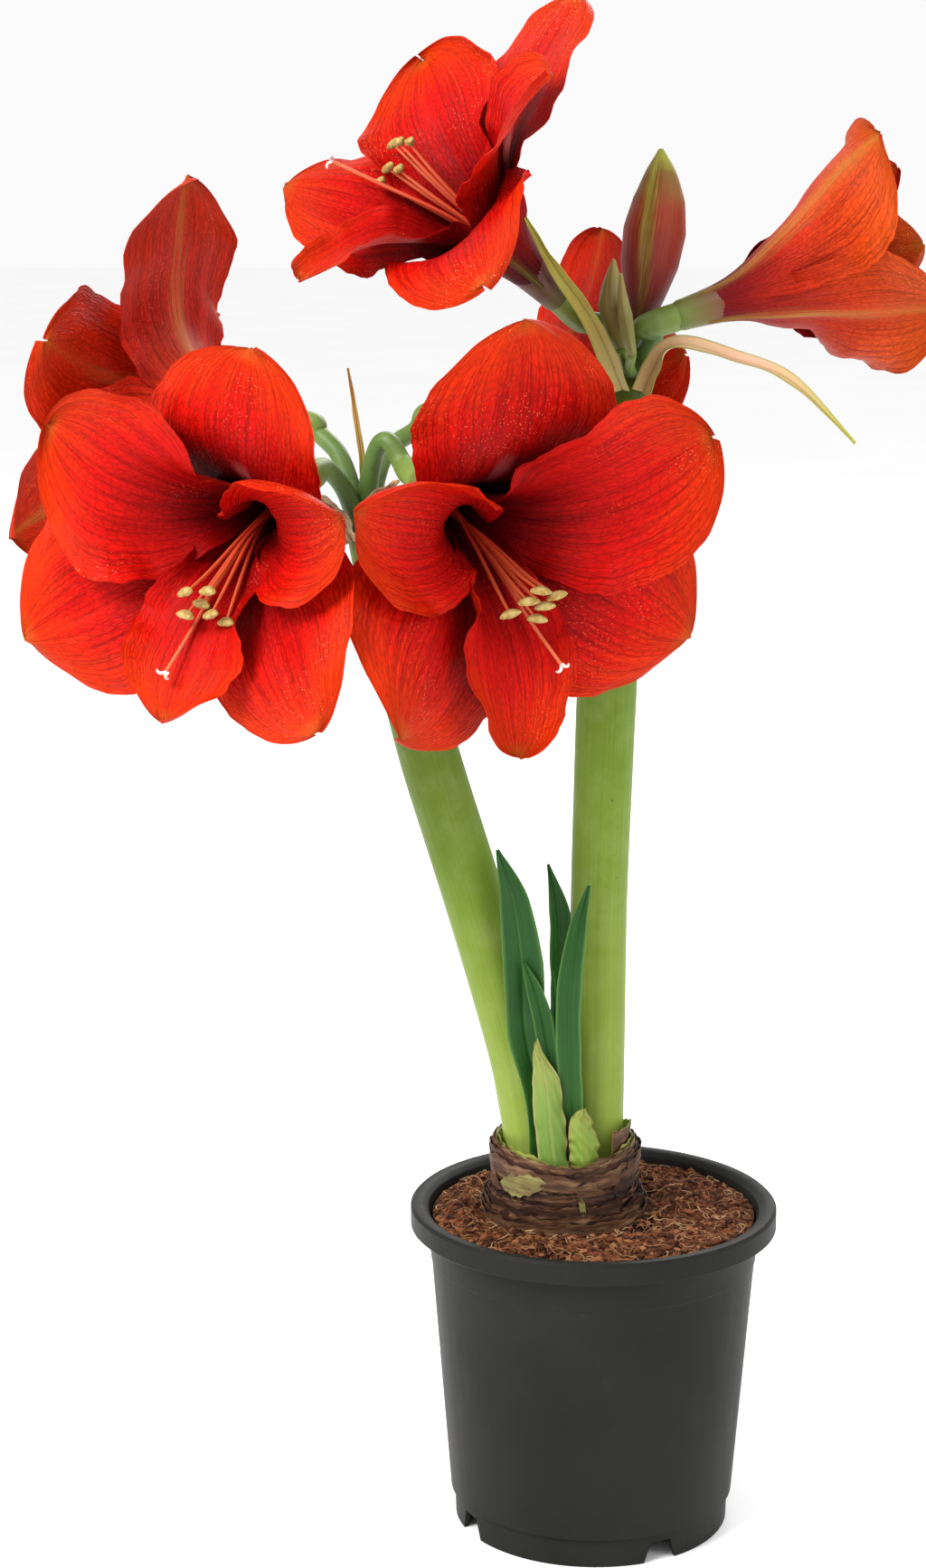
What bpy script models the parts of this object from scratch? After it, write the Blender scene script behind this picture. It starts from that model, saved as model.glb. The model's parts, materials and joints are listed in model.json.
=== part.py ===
"""A potted amaryllis: two flower stalks on one bulb, in a black nursery pot.

Frame: metres, +Z up, the origin on the floor under the pot's axis, -Y towards the viewer.
Sizes are written in millimetres and turned into metres where a mesh is made.
"""

import math
from collections import namedtuple

import bmesh
import bpy
import numpy as np

MM = 0.001
GAP = 0.3  # clearance between touching pieces

# Pot
POT_HEIGHT = 135.0
RIM_RADIUS = 75.0
RIM_DROP = 9.0
RIM_INNER_RADIUS = 69.5
WALL_TOP_RADIUS = 68.2
WALL_FOOT_RADIUS = 58.4
WALL = 1.5
FOOT_RADIUS = 56.8
FOOT_HEIGHT = 11.5
BASE_HEIGHT = 9.0  # underside of the raised base plate
BASE_PLATE = 1.8
LINE_HEIGHT = 112.0
LINE_STEP = 0.35
PAD_RADIUS = 15.0
NOTCH_CLOCK = 27.5  # degrees to the right of the front
NOTCH_TOP = 9.0
NOTCH_FOOT = 15.0
NOTCH_HEIGHT = 8.6
DRAIN_RADIUS = 4.0
DRAIN_CIRCLE = 38.0
POT_SIDES = 28

# Soil and bulb
SOIL_EDGE = 127.0
SOIL_RISE = 3.0
BULB_X = -12.0
NECK_TOP = 163.0
PIT_RADIUS = 27.3
PIT_FLOOR = 154.0
# Radius of the bulb at heights above the pot's foot.
BULB_PROFILE = (
    (56, 8), (58, 20), (66, 33), (80, 40), (98, 42), (112, 40), (122, 37),
    (129, 34.5), (134, 32), (139, 30.4), (146, 29.6), (155, 29.2), (163, 29),
)

# Perianth
BLADE = 0.8
TUBE_RADIUS = 4.6
TUBE_ANGLE = 5.0
BEND_AT = (0, 17, 40, 70, 95, 125)
ROOT = 12.0  # a tepal starts this far up the tube's wall
LONGEST = 135

# Bends are the angles of the blade from the flower's axis at 40, 70, 95 and 125 mm along it.
Tepal = namedtuple(
    "Tepal",
    "clock length width bends sweep roll_left roll_right ruffle waves phase",
    defaults=(0, 10, 10, 2.0, 3.0, 0.0),
)
Flower = namedtuple("Flower", "base azimuth lift turn tepals rows columns")

FLOWERS = {
    "C": Flower(
        (-70, -24, 434), 30, -18, 0,
        (
            Tepal(-3, 130, 38, (24, 54, 88, 106), 0, 8, 8, 2.5, 3.0, 0.5),
            Tepal(59, 129, 37, (24, 54, 80, 97), 0, 14, 10, 3.0, 3.0, 1.2),
            Tepal(114, 134, 37, (21, 46, 72, 84), 0, 10, 14, 3.0, 2.5, 2.0),
            Tepal(179, 124, 24, (20, 41, 60, 68), 0, 14, 14, 3.5, 3.5, 0.0),
            Tepal(225, 134, 33, (17, 32, 52, 60), 0, 12, 12, 2.5, 3.0, 2.6),
            Tepal(288, 112, 31, (24, 58, 86, 94), 0, 12, 75, 2.5, 2.5, 0.8),
        ), 6, 5,
    ),
    "B": Flower(
        (-114, -30, 434), -27, -15, 0,
        (
            Tepal(18, 119, 35, (23, 56, 92, 110), 0, 10, 10, 2.5, 3.0, 0.4),
            Tepal(72, 109, 29, (23, 50, 76, 86), 0, 75, 12, 2.5, 2.5, 1.0),
            Tepal(138, 132, 31, (19, 34, 54, 62), 0, 10, 12, 2.5, 3.0, 2.0),
            Tepal(190, 120, 23, (17, 30, 46, 54), 0, 14, 14, 3.5, 3.5, 0.4),
            Tepal(246, 134, 36, (22, 45, 68, 78), 0, 12, 12, 2.5, 3.0, 2.8),
            Tepal(303, 116, 36, (25, 62, 96, 112), 0, 12, 12, 2.5, 3.0, 1.6),
        ), 6, 5,
    ),
    "A": Flower(
        (-122, 22, 452), -122, 2, 0,
        (
            Tepal(0, 130, 32, (26, 72, 98, 100), 0, 14, 14, 3.5, 4.0, 0.0),
            Tepal(67, 117, 29, (25, 64, 96, 112), 0, 12, 12, 3.0, 3.0, 1.0),
            Tepal(125, 130, 33, (21, 46, 67, 71), 0, 12, 12, 3.0, 3.0, 2.0),
            Tepal(179, 111, 22, (20, 43, 65, 74), 0, 14, 14, 3.0, 3.0, 0.4),
            Tepal(223, 120, 28, (21, 49, 77, 88), 0, 12, 12, 3.0, 3.0, 2.8),
            Tepal(303, 105, 28, (24, 55, 83, 95), 0, 12, 12, 3.5, 4.0, 1.6),
        ), 6, 4,
    ),
    "H": Flower(
        (-59, 26, 455), 125, -1, 0,
        (
            Tepal(1, 116, 28, (22, 50, 74, 87), 0, 12, 12, 2.5, 3.0, 0.0),
            Tepal(66, 109, 27, (21, 45, 71, 84), 0, 12, 12, 2.5, 3.0, 1.0),
            Tepal(128, 114, 28, (20, 42, 66, 78), 0, 12, 12, 2.5, 3.0, 2.0),
            Tepal(178, 105, 21, (21, 44, 65, 76), 0, 14, 14, 3.0, 3.0, 0.4),
            Tepal(244, 100, 27, (23, 48, 74, 84), 0, 12, 12, 2.5, 3.0, 2.8),
            Tepal(297, 99, 27, (22, 46, 71, 81), 0, 12, 12, 2.5, 3.0, 1.6),
        ), 5, 4,
    ),
    "E": Flower(
        (-16, -14, 501), -64, 41, 0,
        (
            Tepal(4, 128, 32, (23, 58, 78, 83), 0, 14, 14, 2.5, 3.0, 0.4),
            Tepal(58, 116, 24, (20, 50, 76, 95), 0, 30, 30, 2.5, 3.0, 1.0),
            Tepal(119, 113, 32, (23, 66, 100, 118), 0, 14, 10, 3.0, 3.0, 2.0),
            Tepal(179, 114, 17, (19, 44, 66, 78), 0, 24, 24, 2.5, 3.0, 0.4),
            Tepal(243, 118, 26, (17, 33, 48, 55), 0, 14, 14, 3.0, 3.0, 2.8),
            Tepal(312, 115, 30, (21, 47, 70, 80), 0, 14, 14, 3.0, 3.0, 1.6),
        ), 6, 5,
    ),
    "G": Flower(
        (28, -6, 494.5), 96, 17, 0,
        (
            Tepal(330, 103, 32, (26, 32, 32, 34), 0, 14, 14, 2.5, 3.0, 0.4),
            Tepal(30, 106, 22, (17, 22, 24, 30), 0, 18, 18, 2.0, 3.0, 1.0),
            Tepal(85, 108, 24, (18, 18, 18, 22), 0, 14, 14, 2.5, 3.0, 2.0),
            Tepal(152, 90, 22, (26, 38, 36, 36), 0, 18, 18, 2.0, 3.0, 0.4),
            Tepal(214, 103, 29, (16, 16, 14, 16), 0, 14, 14, 2.5, 3.0, 2.8),
            Tepal(272, 97, 22, (17, 20, 22, 28), 0, 18, 18, 2.0, 3.0, 1.6),
        ), 6, 4,
    ),
}

# Anthers and stigma as (forward along the axis, right, up) from the perianth's base.
Stamens = namedtuple("Stamens", "anthers stigma fall")
HIDDEN_STAMENS = Stamens(
    ((82, -12, -12), (85, -6, -7), (87, 1, -5), (86, 8, -8), (83, 10, -14), (82, -2, -17)),
    (94, 0, -22), 8)
STAMENS = {
    "C": Stamens(((84, -4, -17), (87, 1, -11), (89, 4, -6), (88, 12, -9), (86, 9, -14),
                  (84, 8, -20)), (92, 17, -36), 10),
    "B": Stamens(((86, -4, -11), (88, 7, -9), (84, -7, -21), (84, 4, -20), (81, 8, -24),
                  (80, -2, -18)), (98, -10, -38), 10),
    "A": HIDDEN_STAMENS,
    "H": HIDDEN_STAMENS,
    "E": Stamens(((82, -28, 7), (84, -18, 6), (84, -9, 6), (80, -22, -3), (78, -17, -2),
                  (78, -25, -8)), (96, -30, -14), 5),
    "G": Stamens(((62, -4, -3), (66, -2, 2), (68, 3, 1), (64, 4, -3), (60, 1, -6),
                  (58, -3, 4)), (78, 0, -5), 2),
}
STAMEN_FLOOR = 3.6
FILAMENT = 0.85

# Stalks, as centre points and radii
STALK_LEFT = (
    ((-25.5, 0, 155.6), 11.2), ((-25.5, 0, 162), 11.3), ((-27.6, 0, 177), 11.5),
    ((-31.4, 0, 198), 11.7),
    ((-40.0, 0, 231), 12.0), ((-51.5, 0, 271), 12.2), ((-66.5, 0, 320), 12.1),
    ((-80.3, 0, 371), 11.0), ((-88.5, 0, 402), 9.0), ((-93.2, 0, 419), 7.2),
)
STALK_RIGHT = (
    ((0.6, 0, 154.4), 11.2), ((0.9, 0, 203), 11.2), ((1.1, 0, 260), 11.3),
    ((2.4, 0, 312), 11.6), ((3.6, 0, 349), 11.8), ((6.2, 0, 407), 10.6),
    ((9.6, 0, 448), 8.6), ((12.6, 0, 471), 7.0), ((13.8, 0, 478), 6.6),
)
PEDICELS = {
    "C": ((-92, -2, 418), (-88.5, -4, 440), (-83, -9, 449)),
    "B": ((-95, -3, 416), (-100, -8, 429), (-106, -13, 437)),
    "A": ((-95, 3, 418), (-102, 9, 440), (-112, 16, 449)),
    "H": ((-91, 3, 418), (-84, 12, 441), (-70, 19, 450)),
    "E": ((12, -2, 474), (8, -5, 485), (-2, -10, 494)),
    "G": ((15, -2, 472), (17, -4, 482), (21.5, -5, 488)),
}
BUD_STUBS = (
    (((13, 3, 472), (13.6, 6, 481), (14.6, 7.4, 489.6)), (4.0, 3.6, 3.9)),
    (((12, -2, 473), (9, -9, 477), (7.4, -14.6, 482.6)), (2.6, 2.2, 2.2)),
    (((13, -3, 472), (10.5, -13, 475.5), (11.0, -22.2, 480.6)), (2.6, 2.0, 1.7)),
)
PEDICEL_RADIUS = 3.6
OVARY_RADIUS = 5.4
OVARY_LENGTH = 15.0

# Buds, as centre points, each with a radius
BUD = (
    ((14.7, 7.6, 490.8), 4.4), ((16.4, 7.6, 500), 7.4), ((18.7, 7.2, 514), 11.0),
    ((20.6, 7, 527), 11.9), ((22.2, 7, 539), 9.8), ((22.8, 7, 550), 5.6), ((22.8, 7, 558), 0.9),
)
SMALL_BUD = (
    ((7.2, -15.4, 484.0), 2.4), ((5.2, -17.6, 491), 4.5), ((3.6, -19.4, 500), 5.6),
    ((3.3, -20, 508), 3.8), ((3.7, -20, 517), 0.7),
)
NARROW_BUD = (
    ((11.0, -22.9, 481.7), 1.7), ((9.2, -26.0, 488), 2.5), ((7.8, -28, 496), 2.8),
    ((6.6, -29, 504), 1.8), ((6.0, -29, 512), 0.6),
)

# Strips: centre points, half widths, the way the blade's face looks, its fold and its thickness
Strip = namedtuple("Strip", "path halves faces fold thickness rows columns")
STRIPS = {
    "leaf_big": Strip(
        ((-21.5, -15.2, 155), (-23.5, -15.6, 185), (-28.5, -16, 212), (-30, -16, 240),
         (-33.5, -16, 266), (-40, -14.5, 286)),
        (4.5, 5.5, 7.6, 8.3, 6.0, 0.8), (0.15, -1, 0), 0.34, 1.2, 9, 4),
    "leaf_back": Strip(
        ((-13.2, -9.2, 155), (-14.0, -8, 190), (-15.2, -5, 236), (-15.6, -3, 258),
         (-19.6, -1, 277)),
        (3.0, 3.4, 5.2, 4.6, 0.7), (0.5, -1, 0), 0.5, 1.2, 7, 4),
    "leaf_front": Strip(
        ((-5.6, -16.0, 155.2), (-9.0, -19.4, 178), (-11.0, -22.4, 208), (-10.8, -22.6, 234),
         (-7.6, -20.5, 256), (-3.6, -19, 272.5)),
        (3.6, 4.2, 5.2, 5.0, 3.6, 0.7), (-0.3, -1, 0), 0.3, 1.2, 9, 4),
    "leaf_small": Strip(
        ((-18.6, -18.8, 155), (-18.4, -19.0, 190), (-21.2, -19.2, 214), (-25.0, -18.8, 229),
         (-29.2, -19.4, 241)),
        (2.6, 3.0, 4.0, 3.4, 0.6), (0.1, -1, 0), 0.4, 1.1, 7, 4),
    "leaf_thin": Strip(
        ((-13.4, -15.2, 155), (-14.4, -15.4, 190), (-16.6, -15.4, 215), (-17.8, -15.2, 237)),
        (2.0, 2.2, 2.4, 0.5), (0.2, -1, 0), 0.4, 1.0, 7, 2),
    "cut_sheath": Strip(
        ((-16.5, -24.6, 155.2), (-18.6, -25.4, 176), (-20.4, -25.4, 193), (-24.6, -24.6, 209)),
        (5.6, 6.2, 5.6, 0.8), (0.1, -1, 0), -0.35, 1.1, 6, 4),
    "curled_scale": Strip(
        ((-3.6, -24.0, 155.6), (-4.6, -25.2, 167), (-6.2, -26.4, 177), (-5.2, -28.4, 183)),
        (5.8, 6.0, 4.4, 0.9), (0.2, -1, 0.1), -0.5, 1.0, 6, 4),
    "bract_left": Strip(
        ((8.2, -6.8, 467), (2.6, -15.5, 480), (-5.4, -22.5, 496), (-18.2, -27.5, 513.5),
         (-30.2, -36.5, 533)),
        (3.2, 4.2, 3.6, 2.6, 0.6), (-0.4, -1, -0.3), 0.45, 0.9, 7, 4),
    "bract_right": Strip(
        ((16.3, -7.4, 466), (19.8, -11.7, 475), (24.5, -16, 483), (33, -19.5, 484.5),
         (48, -20, 480), (71, -24, 471.5), (96, -28, 448)),
        (4.0, 4.0, 3.2, 3.2, 3.2, 2.6, 0.6), (0.1, -0.7, 0.7), 0.7, 0.9, 10, 4),
    "bract_dry": Strip(
        ((-96.6, -6.3, 408), (-101.0, -9.8, 418), (-107, -13.4, 424), (-114, -16, 428)),
        (3.0, 3.4, 2.6, 0.6), (-0.3, -1, -0.2), 0.5, 0.8, 6, 2),
    "bract_cream": Strip(
        ((-90.4, -8.9, 407), (-90.6, -14.6, 418), (-86.5, -18.5, 427), (-78.0, -21.5, 433)),
        (3.4, 3.8, 3.0, 0.6), (0.2, -1, -0.2), 0.5, 0.8, 6, 2),
    "bracteole": Strip(
        ((-92.4, 8.8, 411), (-92.6, 11.6, 430), (-95.2, 11, 452), (-98.6, 9, 474)),
        (1.6, 1.4, 1.1, 0.5), (0.2, -1, 0), 0.3, 0.8, 6, 2),
}

# Colours, for the plain look of this file
POT_BLACK = (0.02, 0.02, 0.018, 1)
SOIL_BROWN = (0.10, 0.045, 0.02, 1)
BULB_BROWN = (0.20, 0.09, 0.04, 1)
SCALE_TAN = (0.42, 0.40, 0.16, 1)
STALK_GREEN = (0.28, 0.42, 0.10, 1)
LEAF_GREEN = (0.03, 0.16, 0.04, 1)
PETAL_RED = (0.72, 0.025, 0.01, 1)
STAMEN_ORANGE = (0.80, 0.14, 0.04, 1)
BUD_OLIVE = (0.30, 0.22, 0.04, 1)
BRACT_CREAM = (0.60, 0.50, 0.20, 1)


def material(name, colour, roughness=0.5):
    made = bpy.data.materials.new(name)
    made.use_nodes = True
    shader = made.node_tree.nodes["Principled BSDF"]
    shader.inputs["Base Color"].default_value = colour
    shader.inputs["Roughness"].default_value = roughness
    return made


def unit(vector):
    vector = np.asarray(vector, float)
    return vector / max(np.linalg.norm(vector), 1e-9)


def smooth(value):
    value = np.clip(value, 0.0, 1.0)
    return value * value * (3.0 - 2.0 * value)


def mesh_object(name, points, faces, collection):
    mesh = bpy.data.meshes.new(name)
    mesh.from_pydata([tuple(p) for p in np.asarray(points, float) * MM], [], faces)
    mesh.update()
    made = bpy.data.objects.new(name, mesh)
    collection.objects.link(made)
    return made


def put_material(obj, made):
    obj.data.materials.clear()
    obj.data.materials.append(made)


def turned(name, profile, sides, collection, centre=(0.0, 0.0)):
    """A closed profile from the axis round to the axis, turned about an upright line."""
    points = [(x * MM, 0.0, z * MM) for x, z in profile]
    mesh = bpy.data.meshes.new(name)
    mesh.from_pydata(points, [(i, i + 1) for i in range(len(points) - 1)], [])
    made = bpy.data.objects.new(name, mesh)
    made.location = (centre[0] * MM, centre[1] * MM, 0.0)
    collection.objects.link(made)
    screw = made.modifiers.new("Screw", "SCREW")
    screw.axis = "Z"
    screw.steps = screw.render_steps = sides
    screw.use_merge_vertices = True
    screw.merge_threshold = 0.0001
    screw.use_smooth_shade = False
    return made


def applied(obj):
    """The object with its modifiers applied, its mesh now plain."""
    bpy.context.view_layer.update()
    graph = bpy.context.evaluated_depsgraph_get()
    mesh = bpy.data.meshes.new_from_object(obj.evaluated_get(graph))
    obj.modifiers.clear()
    obj.data = mesh
    return obj


def keep_largest(obj):
    """Drops loose scraps, and the walls of hollows that a union has sealed."""
    shape = bmesh.new()
    shape.from_mesh(obj.data)
    left, islands = set(shape.verts), []
    while left:
        island, edge = set(), [left.pop()]
        while edge:
            vert = edge.pop()
            island.add(vert)
            for link in vert.link_edges:
                other = link.other_vert(vert)
                if other in left:
                    left.remove(other)
                    edge.append(other)
        islands.append(island)
    largest = max(islands, key=len)
    loose = [vert for island in islands if island is not largest for vert in island]
    bmesh.ops.delete(shape, geom=loose, context="VERTS")
    shape.to_mesh(obj.data)
    shape.free()


def fused(name, pieces, collection, operation="UNION"):
    """The first piece joined with, or cut by, the others, as one closed body."""
    body, others = pieces[0], pieces[1:]
    tools = bpy.data.collections.new(name + "_tools")
    bpy.context.scene.collection.children.link(tools)
    for other in others:
        for held in list(other.users_collection):
            held.objects.unlink(other)
        tools.objects.link(other)
    boolean = body.modifiers.new("Boolean", "BOOLEAN")
    boolean.operation = operation
    boolean.operand_type = "COLLECTION"
    boolean.collection = tools
    boolean.solver = "MANIFOLD"
    applied(body)
    for other in others:
        bpy.data.objects.remove(other)
    bpy.data.collections.remove(tools)
    keep_largest(body)
    body.name = name
    return body


def spline(points, count):
    """Points spread evenly along a Catmull-Rom curve through the given ones, and their places."""
    points = np.asarray(points, float)
    ends = np.vstack([2 * points[0] - points[1], points, 2 * points[-1] - points[-2]])
    place = np.linspace(0, len(points) - 1, 200)
    out = []
    for t in place:
        i = min(int(t), len(points) - 2)
        u = t - i
        a, b, c, d = ends[i : i + 4]
        out.append(
            0.5 * (2 * b + (c - a) * u + (2 * a - 5 * b + 4 * c - d) * u * u
                   + (3 * b - a - 3 * c + d) * u ** 3)
        )
    out = np.array(out)
    walk = np.concatenate([[0], np.cumsum(np.linalg.norm(np.diff(out, axis=0), axis=1))])
    want = np.linspace(0, walk[-1], count)
    where = np.interp(want, walk, place)
    return np.array([np.interp(want, walk, out[:, k]) for k in range(3)]).T, where


def limb(name, path, radii, sides, rings, collection):
    """A closed round limb along a curve, its radius following the given ones."""
    centres, where = spline(path, rings)
    sizes = np.interp(where, range(len(radii)), radii)
    tangents = np.gradient(centres, axis=0)
    side = unit(np.cross(tangents[0], (0.3, 1.0, 0.2)))
    points = []
    for centre, size, tangent in zip(centres, sizes, tangents):
        tangent = unit(tangent)
        side = unit(side - tangent * side.dot(tangent))
        other = np.cross(tangent, side)
        for k in range(sides):
            turn = 2 * math.pi * k / sides
            points.append(centre + size * (math.cos(turn) * side + math.sin(turn) * other))
    faces = []
    for i in range(rings - 1):
        for k in range(sides):
            a, b = i * sides + k, i * sides + (k + 1) % sides
            faces.append((a, b, b + sides, a + sides))
    faces.append(tuple(range(sides))[::-1])
    last = (rings - 1) * sides
    faces.append(tuple(range(last, last + sides)))
    return mesh_object(name, points, faces, collection)


def sheet(name, grid, thickness, collection):
    """A thin closed blade through a grid of points, triangulated before it is thickened."""
    rows, columns = grid.shape[:2]
    faces = []
    for i in range(rows - 1):
        for j in range(columns - 1):
            a = i * columns + j
            faces += [(a, a + 1, a + columns + 1), (a, a + columns + 1, a + columns)]
    made = mesh_object(name, grid.reshape(-1, 3), faces, collection)
    solidify = made.modifiers.new("Solidify", "SOLIDIFY")
    solidify.thickness = thickness * MM
    solidify.offset = 0
    return made


def flower_frame(flower):
    """The axis, right and up of a flower, right and up as seen by someone facing it."""
    azimuth, lift, turn = (math.radians(a) for a in (flower.azimuth, flower.lift, flower.turn))
    axis = np.array([
        math.sin(azimuth) * math.cos(lift), -math.cos(azimuth) * math.cos(lift), math.sin(lift)
    ])
    right = unit(np.cross((0, 0, 1), axis))
    up = np.cross(axis, right)
    return (axis, math.cos(turn) * right - math.sin(turn) * up,
            math.cos(turn) * up + math.sin(turn) * right)


def profiles(flower):
    """Each tepal's radius, reach along the axis and angle, at every millimetre along it."""
    walk = np.arange(LONGEST + 1.0)
    out = []
    for tepal in flower.tepals:
        angle = np.radians(np.interp(walk, BEND_AT, (TUBE_ANGLE, TUBE_ANGLE + 4) + tepal.bends))
        radius = TUBE_RADIUS + np.concatenate([[0], np.cumsum(np.sin(angle))[:-1]])
        reach = np.concatenate([[0], np.cumsum(np.cos(angle))[:-1]])
        out.append((radius, reach, angle))
    return np.array(out)


def layer_offset(walk, layer):
    return layer * (0.5 + 0.9 * smooth((walk - 17) / 25) + 1.6 * smooth((walk - 45) / 50))


def half_width(tepal, walk, radius):
    share = walk / tepal.length
    shape = np.where(
        share < 0.6,
        1 - 0.18 * (1 - share / 0.6) ** 2,
        np.clip(1 - np.clip((share - 0.6) / 0.4, 0, 1) ** 2.9, 0, 1) ** 0.66,
    )
    wide = tepal.width * shape + 1e-6
    limit = math.radians(60) * radius
    return np.maximum((wide ** -4 + limit ** -4) ** -0.25, 0.45)


def tepal_grid(flower, index, rows, columns):
    """Points of a tepal's middle surface in millimetres, rows along it and columns across."""
    tepal = flower.tepals[index]
    layer = 1 if index % 2 else -1
    axis, right, up = flower_frame(flower)
    curves = profiles(flower)
    clocks = np.array([t.clock for t in flower.tepals], float)
    walk = ROOT + (tepal.length - ROOT) * (np.arange(rows + 1) / rows) ** 0.92
    mid_radius = np.interp(walk, range(LONGEST + 1), curves[index, 0])
    half = half_width(tepal, walk, mid_radius)
    share = walk / tepal.length
    fine = np.linspace(-1, 1, 81)
    grid = np.zeros((rows + 1, columns + 1, 3))
    place = np.linspace(-1, 1, columns + 1)
    for i, t in enumerate(walk):
        grow = float(smooth((share[i] - 0.2) / 0.3))
        roll = np.where(fine < 0, tepal.roll_left, tepal.roll_right) * grow
        bend = np.radians(roll) * smooth((np.abs(fine) - 0.15) / 0.85) * layer
        across = np.concatenate([[0], np.cumsum(np.cos(bend[:-1]) * np.diff(fine))])
        across -= np.interp(0, fine, across)
        rise = np.concatenate([[0], np.cumsum(np.sin(bend[:-1]) * np.sign(fine[:-1]) * np.diff(fine))])
        rise -= np.interp(0, fine, rise)
        x = np.interp(place, fine, across) * half[i]
        lift = np.interp(place, fine, rise) * half[i] * (1 if layer > 0 else 0.55)
        wave = np.sin(2 * math.pi * tepal.waves * share[i] + tepal.phase + 1.3 * np.sign(place))
        lift = lift + layer * tepal.ruffle * np.abs(place) ** 1.6 * (1 + wave) / 2 * grow
        lift = lift + layer_offset(t, layer)
        sweep = tepal.sweep * share[i] ** 2
        clock = tepal.clock + sweep + np.degrees(x / mid_radius[i])
        lean = (clock[:, None] - clocks[None, :] + 180) % 360 - 180
        spacing = 60.0
        weight = smooth(1 - np.abs(lean) / spacing) + 1e-9
        weight /= weight.sum(axis=1, keepdims=True)
        at = np.array([[np.interp(t, range(LONGEST + 1), c[k]) for k in range(3)] for c in curves])
        radius, reach, angle = (weight @ at).T
        radius = radius - lift * np.cos(angle)
        reach = reach + lift * np.sin(angle)
        turn = np.radians(clock)
        out = np.cos(turn)[:, None] * up + np.sin(turn)[:, None] * right
        grid[i] = np.asarray(flower.base, float) + reach[:, None] * axis + radius[:, None] * out
    return grid


def tube_object(name, flower, collection, wall=1.5, top=19.0, sides=8):
    """The short tube that the six tepals grow from, with a floor."""
    axis, right, up = flower_frame(flower)
    curves = profiles(flower)
    along = np.arange(LONGEST + 1)
    radius = np.interp((0, 9, top), along, curves[:, 0].mean(axis=0))
    reach = np.interp((0, 9, top), along, curves[:, 1].mean(axis=0))
    outer = [(0.0, 0.0)] + [(r + wall, z) for r, z in zip(radius, reach)]
    outer[1] = (radius[0] + wall * 0.6, 0.0)
    inner = [(r - wall, z) for r, z in zip(radius[:0:-1], reach[:0:-1])]
    inner += [(radius[0] - wall, STAMEN_FLOOR - GAP), (0.0, STAMEN_FLOOR - GAP)]
    profile = outer + inner
    points = []
    rings = []
    for r, z in profile:
        if r == 0:
            rings.append([len(points)])
            points.append(np.asarray(flower.base) + z * axis)
            continue
        ring = []
        for k in range(sides):
            turn = 2 * math.pi * k / sides
            ring.append(len(points))
            points.append(
                np.asarray(flower.base) + z * axis
                + r * (math.cos(turn) * up + math.sin(turn) * right)
            )
        rings.append(ring)
    faces = []
    for a, b in zip(rings, rings[1:]):
        for k in range(sides):
            n = (k + 1) % sides
            if len(a) == 1:
                faces.append((a[0], b[k], b[n]))
            elif len(b) == 1:
                faces.append((a[k], b[0], a[n]))
            else:
                faces.append((a[k], b[k], b[n], a[n]))
    return mesh_object(name, points, faces, collection)


def make_perianth(key, flower, collection, red):
    name = "perianth_" + key.lower()
    pieces = [tube_object(name, flower, collection)]
    for index in range(6):
        grid = tepal_grid(flower, index, flower.rows, flower.columns)
        pieces.append(sheet(f"{name}_{index}", grid, BLADE, collection))
    made = fused(name, pieces, collection)
    put_material(made, red)
    return made


def anther(name, centre, along, collection, sides=4):
    """A plump spindle lying across the end of its filament."""
    points, radii = [], []
    for share, size in ((-1, 0.5), (-0.55, 1.25), (0.55, 1.25), (1, 0.5)):
        points.append(np.asarray(centre) + share * 3.2 * np.asarray(along))
        radii.append(size)
    tangent = unit(along)
    side = unit(np.cross(tangent, (0.3, 0.2, 1)))
    other = np.cross(tangent, side)
    verts = []
    for centre, size in zip(points, radii):
        for k in range(sides):
            turn = 2 * math.pi * k / sides
            verts.append(centre + size * (math.cos(turn) * side + math.sin(turn) * other))
    faces = []
    for i in range(3):
        for k in range(sides):
            a, b = i * sides + k, i * sides + (k + 1) % sides
            faces.append((a, b, b + sides, a + sides))
    faces.append(tuple(range(sides))[::-1])
    faces.append(tuple(range(3 * sides, 4 * sides)))
    return mesh_object(name, verts, faces, collection)


def filament_path(flower, start, end, fall, rise):
    """A filament in the flower's own frame: down the throat's lower side and up at its end."""
    axis, right, up = flower_frame(flower)
    forward, aside, high = end
    places = (
        (STAMEN_FLOOR + 0.6, start[0], start[1]),
        (20, start[0] * 1.1, start[1] - 0.1 * fall),
        (forward * 0.55, aside * 0.25, high * 0.25 - 0.15 * fall),
        (forward * 0.82, aside * 0.66, high * 0.66 - 0.2 * fall),
        (forward, aside, high - rise),
    )
    base = np.asarray(flower.base, float)
    return [base + f * axis + r * right + u * up for f, r, u in places]


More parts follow.
